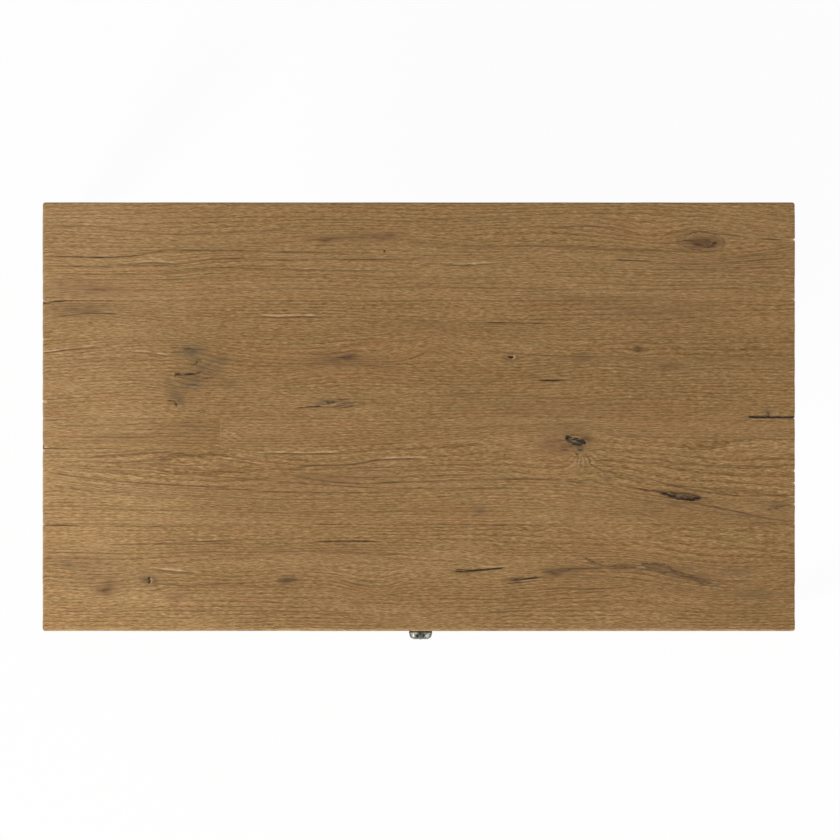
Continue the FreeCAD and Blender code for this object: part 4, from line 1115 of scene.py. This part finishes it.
def makePlank(node):
    # A plank: a worked grid for its face, and rings that follow its border down and round
    # the arris, each ring a distance outwards and a drop, closed by one face below. Its
    # grain coordinate runs on over the edge by the distance from the face
    look = planks[node]
    low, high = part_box(node)
    radius = plankMake["cornerRadius"]
    if node == "let_in_strip":
        radius = plankMake["jointArris"] * plankMake["stripCorner"]
    across, down = plankGrid(node, radius)
    marks = plankMarks(across, down, look)
    flow = growthFlow(across, down, look)
    face = plankFace(node, across, down, plankRelief(across, down, flow, marks, look))
    border, angle = plankLoop(*across.shape)
    outX, outY, arris = plankBorder(node, radius, angle)
    outwards, drops = plankProfile(arris, radius, high.z - low.z)
    levels = len(outwards)
    skirt = plankSkirt(node, face, border, outX, outY, outwards, drops)
    faces, materials = plankFaces(across.shape, border, outX, levels)
    plank = closedPiece("plank_" + node, np.concatenate([face, skirt]), faces)
    mesh = plank.data
    mesh.polygons.foreach_set("material_index", materials)

    source = np.concatenate([np.arange(across.size), np.tile(border, levels)])
    away = np.sign(outY) * (outwards + drops)
    away = np.concatenate([np.zeros(across.size), away.ravel()])
    grain = np.stack([across.ravel()[source] * pixel, away - flow.ravel()[source] * pixel], -1)
    corner = np.zeros(len(mesh.loops), int)
    mesh.loops.foreach_get("vertex_index", corner)
    mesh.uv_layers.new(name="grain").data.foreach_set("uv", grain[corner].ravel())
    skirtMarks = plankMarks(across.ravel()[border] + outX * outwards / pixel,
                            down.ravel()[border] - outY * outwards / pixel, look)
    for name, parts in (("marks", ("dark", "red", "pale")),
                        ("stain", ("grey", "black", "line"))):
        paintMesh(mesh, name, [np.concatenate([marks[part].ravel(), skirtMarks[part].ravel()])
                               for part in parts])
    mesh.materials.append(plankOak(node))
    mesh.materials.append(solidOak("end_grain_" + node, "x", look["seed"], endGrainLook))
    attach(plank, "frame")
    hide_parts(node)


# the finish of the planks

plankLook = {
    "stops": [(0.0, (80, 52, 18)), (0.27, (111, 80, 38)), (0.5, (143, 110, 67)),
              (0.73, (175, 140, 96)), (1.0, (208, 174, 130))],
    # dark also takes the painted shade of the gouges; pale is mostly painted highlights on the
    # gouges, the notches and the front and left edges
    "dark": (66, 45, 26),
    "red": (104, 64, 42),
    "grey": (100, 88, 68),
    # black: checks, holes and knot marks; in checks and holes it is partly painted shade
    "black": (30, 23, 17),
    "pale": (210, 176, 131),
    "line": (72, 48, 26),
    "rust": (152, 100, 60),
    "olive": (128, 108, 60),
    # each noise: waves in a metre along and across, detail, roughness and its own shift
    "broad": (3.0, 22.0, 2.0, 0.5, 0.0),
    "ring": (2.4, 180.0, 2.5, 0.6, 3.0),
    "fibre": (34.0, 620.0, 3.0, 0.75, 5.0),
    "fleck": (102.0, 1060.0, 1.5, 0.7, 7.0),
    "dash": (48.0, 720.0, 1.5, 0.6, 9.0),
    "wander": (2.0, 26.0, 1.5, 0.5, 12.0),
    "strength": (4.0, 30.0, 2.0, 0.5, 15.0),
    "hue": (16.0, 120.0, 2.0, 0.5, 18.0),
    "patch": (3.5, 16.0, 2.0, 0.5, 21.0),
    # how far the place of a noise leans: sideways, lengthwise, and into its depth by both
    "slants": (0.13, 0.21, 0.6, 0.37),
    "straightShare": 0.45,
    # where each thing starts to show and where it is full
    "poreBand": (0.55, 0.67),
    "strengthBand": (0.28, 0.56),
    "toothBand": (0.0, 0.08),
    "patchBand": (0.50, 0.68),
    "rustBand": (0.5, 0.72),
    "oliveBand": (0.5, 0.28),
    "leftLightBand": (0.26, 0.46),
    "filledBand": (0.6, 1.0),
    "inkBand": (0.25, 0.80),
    "broadShare": 0.15,
    "ringShare": 0.07,
    "fibreShare": 0.36,
    "fleckShare": 1.20,
    "growthShare": 0.28,
    "growthWander": 4.0,
    "growthRoughness": 0.25,
    "growthFall": 3.0,
    "poreDarkness": 0.34,
    "poreGrowth": 0.8,         # pores gather on the growth lines
    "poreRest": 0.25,
    "paintedLeftLight": 0.09,
    "patchShare": 0.10,
    "hueShare": 0.17,
    # how the fibres and flecks break the marks up, and how much of each mark they take
    "fibreBreaks": 4.6,
    "fleckBreaks": 5.0,
    "breaks": {"red": (0.8, 0.0), "grey": (0.7, 0.0), "dark": (1.0, 0.0),
               "line": (0.5, 0.55), "pale": (0.4, 0.45), "black": (0.5, 0.6)},
    "filledShare": 0.7,
    "roughness": 0.66,
    "fibreRoughness": 0.25,
    "blackRoughness": 0.2,
    "specular": 0.25,
    "bumpDepth": 0.0008,
    "bumpStrength": 0.7,
    "fibreHeight": 0.8,
    "fleckHeight": 0.5,
    "ringHeight": 0.25,
    "poreDepth": 0.4,
    "growthDepth": 0.5,
    "darkDepth": 0.3,
    "lineDepth": 0.5,
}


def plankOak(node):
    # Tone adds up broad clouds, growth rings and fibres, all drawn out along the grain, and
    # takes off a saw-tooth of growth lines; the marks of the plank are laid over it, each
    # broken up by the fibres. The finest noises follow the growth lines by half only, so
    # that they stay fine beside the knots. The left end is painted paler, as painted light from
    # the left. In the bump the fibres stand up, and the pores, growth lines and marks lie lower
    look = planks[node]
    user = plankLook
    shader = Shader(bpy.data.materials.new("oak_" + node))
    length, across = shader.split(shader.node("ShaderNodeUVMap", {"uv_map": "grain"}))[:2]
    placeX, placeY = shader.split(shader.place())[:2]
    dark, red, pale = shader.painted("marks")
    grey, black, drawnLine = shader.painted("stain")
    straight = user["straightShare"]
    fineAcross = across * (1 - straight) + placeY * straight

    def drawn(name, side=across):
        # the third coordinate slants through the noise, so that its cells line up nowhere
        alongScale, acrossScale, detail, roughness, lift = user[name]
        leanAlong, leanAcross, deepAlong, deepAcross = user["slants"]
        along = length * alongScale
        over = side * acrossScale
        spot = shader.join(along + over * leanAlong, over - along * leanAcross,
                           along * deepAlong + over * deepAcross + float(look["seed"] + lift))
        return shader.noise(spot, 1.0, detail, roughness)

    broad = drawn("broad")
    ring = drawn("ring")
    fibre = drawn("fibre", fineAcross)
    fleck = drawn("fleck", fineAcross)
    pores = shader.between(drawn("dash", fineAcross), *user["poreBand"])
    strength = shader.between(drawn("strength"), *user["strengthBand"])
    tooth = (across / look["spacing"] + drawn("wander") * user["growthWander"]
             + fibre.swing() * user["growthRoughness"]) % 1.0
    growth = shader.between(tooth, *user["toothBand"]) * strength
    growth = growth * (1.0 - tooth) ** user["growthFall"]
    figure = (broad.swing() * user["broadShare"]
              + ring.swing() * user["ringShare"]
              + fibre.swing() * user["fibreShare"]
              + fleck.swing() * user["fleckShare"]
              - growth * user["growthShare"])
    # the left end painted paler, as painted light falling from the left
    paintedLeftLight = shader.between(placeX * -1.0, *user["leftLightBand"]) * user["paintedLeftLight"]
    colour = shader.ramp(0.5 + look["tone"] + paintedLeftLight + figure * look["contrast"],
                         user["stops"])
    hue = drawn("hue")
    broken = fibre.swing() * user["fibreBreaks"] + fleck.swing() * user["fleckBreaks"] + 1.0
    filled = shader.between(grey, *user["filledBand"]) * user["filledShare"]
    porous = pores * (growth * user["poreGrowth"] + user["poreRest"])

    def worn(name, mark):
        share, rest = user["breaks"][name]
        return mark * (broken * share + rest)

    layers = [
        ("rust", shader.between(drawn("patch"), *user["patchBand"]) * user["patchShare"]),
        ("rust", shader.between(hue, *user["rustBand"]) * user["hueShare"]),
        ("olive", shader.between(hue, *user["oliveBand"]) * user["hueShare"]),
        ("dark", porous * user["poreDarkness"]),
        ("red", worn("red", red)),
        ("grey", worn("grey", grey) + filled),
        ("dark", worn("dark", dark)),
        ("line", worn("line", drawnLine)),
        ("pale", worn("pale", pale)),
        ("black", shader.between(worn("black", black), *user["inkBand"])),
    ]
    for name, share in layers:
        colour = shader.paint(share, colour, user[name])
    roughness = (user["roughness"] + fibre.swing() * user["fibreRoughness"]
                 + black * user["blackRoughness"])
    height = (fibre * user["fibreHeight"] + fleck * user["fleckHeight"]
              + ring * user["ringHeight"] - pores * user["poreDepth"]
              - growth * user["growthDepth"] - dark * user["darkDepth"]
              - drawnLine * user["lineDepth"])
    return shader.finish(colour, roughness, height, user["bumpDepth"], user["bumpStrength"],
                         Specular_IOR_Level=user["specular"])


# the finish of every other wooden piece: growth rings round a pith that runs along it

oakLook = {
    "stops": [(0.0, (92, 67, 39)), (0.3, (120, 90, 56)), (0.5, (141, 110, 71)),
              (0.72, (160, 128, 87)), (1.0, (186, 155, 113))],
    "dark": (72, 52, 34),
    # each noise: waves in a metre along and across, detail and roughness
    "fibre": (30.0, 700.0, 3.0, 0.6),
    "dash": (45.0, 1000.0, 1.5, 0.5),
    "broad": (4.0, 14.0, 2.0, 0.5),
    "waver": (5.0, 26.0, 2.0, 0.5),
    "ringWidth": 0.0042,
    "pithAway": (0.085, 0.060),
    "pithSpread": 0.5,
    "pithWaves": 2.3,
    "pithWander": 0.05,
    "ringWaves": 1.5,
    "ringDetail": 2.5,
    "ringRoughness": 0.55,
    "waverDepth": 0.006,
    "poreBand": (0.56, 0.70),
    "toneSpread": 0.03,
    "ringShare": 0.75,
    "fibreShare": 0.55,
    "broadShare": 0.25,
    "roughness": 0.60,
    "fibreRoughness": 0.2,
    "pores": 0.38,
    "specular": 0.35,
    "bumpDepth": 0.0003,
    "bumpStrength": 0.5,
    "fibreHeight": 0.5,
    "ringHeight": 0.25,
    "poreDepth": 0.5,
}
endGrainLook = {**oakLook, "stops": [
    (0.0, (70, 50, 30)), (0.3, (98, 72, 45)), (0.5, (120, 92, 60)),
    (0.72, (140, 110, 74)), (1.0, (168, 138, 98))]}
innerLook = {**oakLook, "roughness": 0.72, "pores": 0.30, "stops": [
    (0.0, (112, 84, 52)), (0.3, (142, 110, 72)), (0.5, (163, 130, 88)),
    (0.72, (178, 146, 104)), (1.0, (200, 170, 128))]}
drawerLook = {**oakLook, "ringWidth": 0.0065, "roughness": 0.58, "pores": 0.12, "stops": [
    (0.0, (150, 117, 76)), (0.3, (176, 144, 101)), (0.5, (192, 161, 117)),
    (0.72, (205, 176, 133)), (1.0, (219, 194, 154))]}
pegLook = {**oakLook, "ringWidth": 0.0024, "stops": [
    (0.0, (56, 40, 25)), (0.3, (82, 60, 38)), (0.5, (103, 77, 49)),
    (0.72, (122, 94, 62)), (1.0, (145, 115, 80))]}


def solidOak(name, axis, seed, user):
    # Rings are a noise of the distance from the pith, which wanders along the piece; the
    # distance is the root of the sum of the two squares
    shader = Shader(bpy.data.materials.new(name))
    x, y, z = shader.split(shader.place())
    length, first, second = {"x": (x, y, z), "y": (y, x, z), "z": (z, x, y)}[axis]
    shift = np.random.default_rng(seed).uniform(-1, 1, 3)

    def drawn(kind):
        along, across, detail, roughness = user[kind]
        spot = shader.join(length * along, first * across, second * across)
        return shader.noise(spot, 1.0, detail, roughness)

    bend = shader.noise(shader.join(length * user["pithWaves"], float(seed), 0.0), 1.0, 1.0)
    pith = [float(away * (1 + user["pithSpread"] * turn))
            for away, turn in zip(user["pithAway"], shift)]
    away = first + bend.swing() * user["pithWander"] + pith[0]
    deep = second + drawn("waver").swing() * user["waverDepth"] + pith[1]
    radius = (away * away + deep * deep) ** 0.5
    ringPlace = shader.join(radius / user["ringWidth"], length * user["ringWaves"], float(seed))
    rings = shader.noise(ringPlace, 1.0, user["ringDetail"], user["ringRoughness"])
    fibre = drawn("fibre")
    pores = shader.between(drawn("dash"), *user["poreBand"])
    tone = (0.5 + float(user["toneSpread"] * shift[2]) + rings.swing() * user["ringShare"]
            + fibre.swing() * user["fibreShare"] + drawn("broad").swing() * user["broadShare"])
    colour = shader.ramp(tone, user["stops"])
    colour = shader.paint(pores * user["pores"], colour, user["dark"])
    roughness = user["roughness"] + fibre.swing() * user["fibreRoughness"]
    height = (fibre * user["fibreHeight"] + rings * user["ringHeight"]
              - pores * user["poreDepth"])
    return shader.finish(colour, roughness, height, user["bumpDepth"], user["bumpStrength"],
                         Specular_IOR_Level=user["specular"])


def dress(node, material):
    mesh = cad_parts[node].data
    mesh.materials.clear()
    mesh.materials.append(material)


def pairs(*stems):
    return [stem + side for stem in stems for side in ("_left", "_right")]


# the pieces by finish, and by the axis along which their grain runs
woodGrain = [
    (oakLook, {
        "x": ["apron_back", "front_rail_upper", "front_rail_lower", *pairs("front_panel"),
              "drawer_front"],
        "y": pairs("apron"),
        "z": pairs("leg_front", "leg_back", "drawer_post"),
    }),
    (innerLook, {
        "x": ["board_spline_1", "board_spline_2", "board_spline_3", "drawer_stops",
              "top_buttons"],
        "y": pairs("drawer_runner", "drawer_kicker", "drawer_guide", "top_batten"),
    }),
    (drawerLook, {
        "x": ["drawer_back", "drawer_bottom", "pencil_divider"],
        "y": pairs("drawer_side"),
    }),
]


def dressWood():
    seed = 100
    for user, grains in woodGrain:
        for axis, nodes in grains.items():
            for node in nodes:
                seed += 7
                dress(node, solidOak("wood_" + node, axis, seed, user))
    dress("tenon_pegs", solidOak("wood_pegs", "x", 90, pegLook))


# metal

pewterLook = {
    # low wear is the dark of the hollows and of the painted shade at the knob's back, high wear
    # the worn metal and the painted highlight on the rim
    "stops": [(0.05, (50, 49, 42)), (0.45, (112, 114, 103)), (0.95, (178, 178, 166))],
    "cloud": (260.0, 4.0, 0.6),
    "pits": (1400.0, 2.0),
    "pitBand": (0.60, 0.72),
    "plainWear": 0.7,          # of a plate without worn places of its own
    "plainBand": (0.40, 0.75),
    "cloudShare": 0.5,
    "roughness": 0.62,
    "cloudRoughness": 0.3,
    "wearSmoothness": 0.12,
    "pitRoughness": 0.15,
    "metallic": 0.85,
    "bumpDepth": 0.0002,
    "bumpStrength": 0.6,
    "cloudHeight": 0.5,
    "pitDepth": 0.6,
}
steelLook = {
    "stops": [(0.3, (118, 114, 104)), (0.55, (164, 161, 152)), (0.8, (196, 194, 186))],
    "cloud": (420.0, 3.0, 0.6),
    "drawnOut": (900.0, 900.0, 90.0),
    "markDetail": 2.0,
    "roughness": 0.34,
    "cloudRoughness": 0.25,
    "metallic": 1.0,
    "bumpDepth": 0.0001,
    "bumpStrength": 0.4,
}


def pewter(name, hasWear):
    # Dark in the hollows, worn bright on the high places; on the knob its painted wear also
    # holds a painted highlight on the rim's lobes and painted shade at the back
    user = pewterLook
    shader = Shader(bpy.data.materials.new(name))
    cloud = shader.noise(shader.place(), *user["cloud"])
    pits = shader.between(shader.noise(shader.place(), *user["pits"]), *user["pitBand"])
    if hasWear:
        wear = shader.painted("wear")[0]
    else:
        wear = shader.between(cloud, *user["plainBand"]) * user["plainWear"]
    colour = shader.ramp(wear + cloud.swing() * user["cloudShare"], user["stops"])
    roughness = (user["roughness"] + cloud.swing() * user["cloudRoughness"]
                 - wear * user["wearSmoothness"] + pits * user["pitRoughness"])
    height = cloud * user["cloudHeight"] - pits * user["pitDepth"]
    return shader.finish(colour, roughness, height, user["bumpDepth"], user["bumpStrength"],
                         Metallic=user["metallic"])


def screwSteel(name):
    # Zinc clouds, and fine marks drawn out upwards
    user = steelLook
    shader = Shader(bpy.data.materials.new(name))
    cloud = shader.noise(shader.place(), *user["cloud"])
    drawnOut = shader.node("ShaderNodeMapping", None, {
        "Vector": shader.place(), "Scale": user["drawnOut"]})
    marks = shader.noise(drawnOut, 1.0, user["markDetail"])
    colour = shader.ramp(cloud, user["stops"])
    roughness = user["roughness"] + cloud.swing() * user["cloudRoughness"]
    return shader.finish(colour, roughness, marks, user["bumpDepth"], user["bumpStrength"],
                         Metallic=user["metallic"])


# the knob: a rosette with a boss, a ring of petals and a rim of four lobes, in millimetres

knobShape = {
    "turns": 240,
    "steps": 170,
    # radius and distance from the drawer's front, from the middle of the face backwards
    "profile": [(0.0, 24.0), (4.0, 23.9), (8.0, 23.5), (11.0, 23.0), (13.0, 22.6), (14.6, 22.3),
                (15.8, 21.7), (16.5, 20.8), (16.8, 19.8), (16.8, 18.6), (16.2, 17.4),
                (14.4, 16.6), (11.4, 15.6), (8.8, 13.8), (7.2, 11.6), (6.6, 9.4), (6.7, 7.3),
                (7.5, 5.1), (8.6, 3.2), (8.9, 2.4), (8.9, 2.0), (4.0, 2.0)],
    # points of the profile: the brightest of the rim, with wear and a painted highlight, the end
    # of the petals, the start of the back, painted dark as shade and patina
    "wearHighlightPoint": 6,
    "facePoint": 7,
    "backPoint": 10,
    "petals": 8,
    "petalRing": 9.2,
    "petalReach": 8.0,
    "petalEnd": 1.6,
    "petalBreadth": 3.8,       # at its root by petalRoot, and more by petalFlare further out
    "petalRoot": 0.6,
    "petalFlare": 0.5,
    "flareRadius": 12,
    "petalHeight": 5.7,
    "veinWidth": 0.5,
    "veinDepth": 0.5,
    "bossRadius": 5.6,
    "bossHeight": 5.45,
    "lobes": 4,
    "lobeDepth": 0.3,
    "lobeBreadth": 1.6,
    "rimReach": 5.5,
    "wearHighlightReach": 2.2,
    "wearHighlightBreadth": 1.4,
    "backFade": 2.0,
    "dentSize": 2.6,
    "dentSeed": 5,
    # shares of wear, with the painted highlight of the rim's lobes and the painted shade of the
    # back
    "leastWear": 0.08,
    "liftWear": 0.45,
    "rimWearAndHighlight": 0.68,
    "dentWear": 0.20,
    "backShadeAndPatina": 0.12,
}


def knobSurface():
    # A turned profile whose face rises as half ovals for the petals and the boss, and whose
    # rim is drawn in between its lobes; the high places wear bright, the rim's lobes are painted
    # bright as a highlight as well as wear, and the back is painted dark as shade as well as
    # patina. Gives the grid's points and wear, from the middle of the face outwards and round to
    # the back
    shape = knobShape
    low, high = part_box("knob")
    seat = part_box("drawer_front")[0].y
    profile = np.array(shape["profile"])
    lengths = np.concatenate([[0], np.cumsum(np.hypot(*np.diff(profile, axis=0).T))])
    place = np.linspace(0, lengths[-1], shape["steps"])[:, None]
    radius = np.maximum(curve(place, np.stack([lengths, profile[:, 0]], -1)), 0)
    rise = curve(place, np.stack([lengths, profile[:, 1]], -1))
    turn = np.linspace(0, 2 * math.pi, shape["turns"], endpoint=False)
    sector = 2 * math.pi / shape["petals"]
    sideways = radius * ((turn + sector / 2) % sector - sector / 2)
    flare = shape["petalFlare"] * radius / shape["flareRadius"]
    breadth = shape["petalBreadth"] * (shape["petalRoot"] + flare)
    outwards = (radius - shape["petalRing"]) / shape["petalReach"]
    petal = np.sqrt(np.clip(1 - outwards ** 2 - (sideways / breadth) ** 2, 0, 1))
    vein = bell(sideways / shape["veinWidth"]) * petal
    boss = np.sqrt(np.clip(1 - (radius / shape["bossRadius"]) ** 2, 0, 1))
    onFace = steps((lengths[shape["facePoint"]] - place) / shape["petalEnd"])
    lift = np.maximum(petal * shape["petalHeight"] - vein * shape["veinDepth"],
                      boss * shape["bossHeight"]) * onFace
    rim = bell((place - lengths[shape["facePoint"]]) / shape["rimReach"])
    lobe = 0.5 - 0.5 * np.cos(turn * shape["lobes"])
    radius = radius - rim * (1 - steps(lobe * shape["lobeBreadth"])) * shape["lobeDepth"]
    x = (low.x + high.x) / 2 + radius * np.cos(turn) / 1000
    z = (low.z + high.z) / 2 + radius * np.sin(turn) / 1000
    # the back of the rim down to the neck is painted dark: painted shade, with patina in the neck
    behind = steps((place - lengths[shape["backPoint"]]) / shape["backFade"])
    # the rim's lobes: painted bright as a highlight as well as wear
    worn = bell((place - lengths[shape["wearHighlightPoint"]]) / shape["wearHighlightReach"])
    worn = worn * steps(lobe * shape["wearHighlightBreadth"])
    dents = ripple(x * 1000, z * 1000, shape["dentSeed"], shape["dentSize"],
                   shape["dentSize"])
    wear = (shape["leastWear"] + shape["liftWear"] * lift / shape["bossHeight"]
            + shape["rimWearAndHighlight"] * worn + shape["dentWear"] * dents)
    wear = wear * (1 - behind) + shape["backShadeAndPatina"] * behind
    return np.stack([x, seat - (rise + lift) / 1000, z], -1), wear


def makeKnob():
    # one point in the middle, a fan round it, quads between the rings and a face at the back
    points, wear = knobSurface()
    rows, columns = wear.shape
    index = 1 + np.arange((rows - 1) * columns).reshape(rows - 1, columns)
    beside = np.roll(index, -1, 1)
    fan = np.stack([np.zeros(columns, int), beside[0], index[0]], -1)
    quads = np.stack([index[:-1], beside[:-1], beside[1:], index[1:]], -1).reshape(-1, 4)
    faces = fan.tolist() + quads.tolist() + [index[-1].tolist()]
    points = np.concatenate([points[0, :1], points[1:].reshape(-1, 3)])
    knob = closedPiece("rosette_knob", points, faces)
    paintMesh(knob.data, "wear", [np.concatenate([wear[0, :1], wear[1:].ravel()])])
    knob.data.materials.append(pewter("aged_pewter", True))
    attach(knob, "drawer")
    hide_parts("knob")


# stage, light and camera

stageLook = {
    "floorSize": 9.0,
    "floorColour": (232, 231, 228),
    "whiteShare": 0.96,
    "worldLight": 0.38,
    "cameraHeight": 40.0,
    "sensor": 36.0,
}
lamps = {
    "key": {"place": (-1.75, -1.30, 2.35), "aim": (-0.10, -0.05, 0.70), "size": 0.8,
            "power": 62.0},
    "fill": {"place": (2.2, -0.9, 2.0), "aim": (0.3, 0.0, 0.6), "size": 2.0, "power": 23.5},
    "rim": {"place": (0.8, 2.6, 1.6), "aim": (0.0, 0.0, 0.4), "size": 2.0, "power": 8.0},
}


def makeFloor():
    # a pale floor that keeps the shadow, and is near white to the camera and in reflections
    half = stageLook["floorSize"] / 2
    mesh = bpy.data.meshes.new("floor")
    corners = [(-half, -half, 0), (half, -half, 0), (half, half, 0), (-half, half, 0)]
    mesh.from_pydata(corners, [], [(0, 1, 2, 3)])
    floor = newObject("floor", mesh)
    shader = Shader(bpy.data.materials.new("pale_floor"))
    matt = shader.node("ShaderNodeBsdfDiffuse", None, {0: linear(*stageLook["floorColour"])})
    white = shader.node("ShaderNodeEmission", None, {0: (1, 1, 1, 1), 1: 1.0})
    surface = shader.node("ShaderNodeMixShader", None, {
        0: shader.seen() * stageLook["whiteShare"], 1: matt, 2: white})
    shader.node("ShaderNodeOutputMaterial", None, {"Surface": surface})
    mesh.materials.append(shader.owner)


def makeWorld():
    # soft light from all round, and plain white to the camera and in reflections
    world = bpy.data.worlds.new("studio")
    bpy.context.scene.world = world
    shader = Shader(world)
    soft, white = [shader.node("ShaderNodeBackground", None, {0: (1, 1, 1, 1), 1: power})
                   for power in (stageLook["worldLight"], 1.0)]
    surface = shader.node("ShaderNodeMixShader", None, {0: shader.seen(), 1: soft, 2: white})
    shader.node("ShaderNodeOutputWorld", None, {"Surface": surface})


def aimAt(thing, place, target):
    # turned so that its own -Z points from its place to the target
    thing.location = place
    away = np.array(place) - np.array(target)
    flat = math.hypot(away[0], away[1])
    thing.rotation_euler = (math.atan2(flat, away[2]), 0, math.atan2(away[0], -away[1]))


def makeLamps():
    for name, user in lamps.items():
        light = bpy.data.lights.new(name, "AREA")
        light.shape = "DISK"
        light.size = user["size"]
        light.energy = user["power"]
        aimAt(newObject(name, light), user["place"], user["aim"])


def makeCamera():
    # straight above, from far away, so that the top fills the photograph's own frame
    camera = bpy.data.cameras.new("camera")
    camera.sensor_width = stageLook["sensor"]
    distance = stageLook["cameraHeight"]
    camera.lens = camera.sensor_width * distance / (photo["width"] * pixel)
    camera.clip_start = distance / 2
    camera.clip_end = distance * 3
    thing = newObject("camera", camera)
    middle = photo["width"] / 2
    thing.location = (toX(middle), toY(middle), top["height"] + distance)
    bpy.context.scene.camera = thing


makeCamera()
makeWorld()
makeLamps()
makeFloor()
print("stage, light and camera made")
for plankNode in planks:
    makePlank(plankNode)
print("planks made")
dressWood()
for metalNode in ("foot_glides", "batten_screws", "button_screws", "rail_screws",
                  "drawer_bottom_screws", "knob_bolt"):
    dress(metalNode, screwSteel("steel_" + metalNode))
dress("knob_back_plate", pewter("pewter_back_plate", False))
makeKnob()
print("knob made, all pieces finished")
bpy.context.scene.view_settings.view_transform = "Standard"
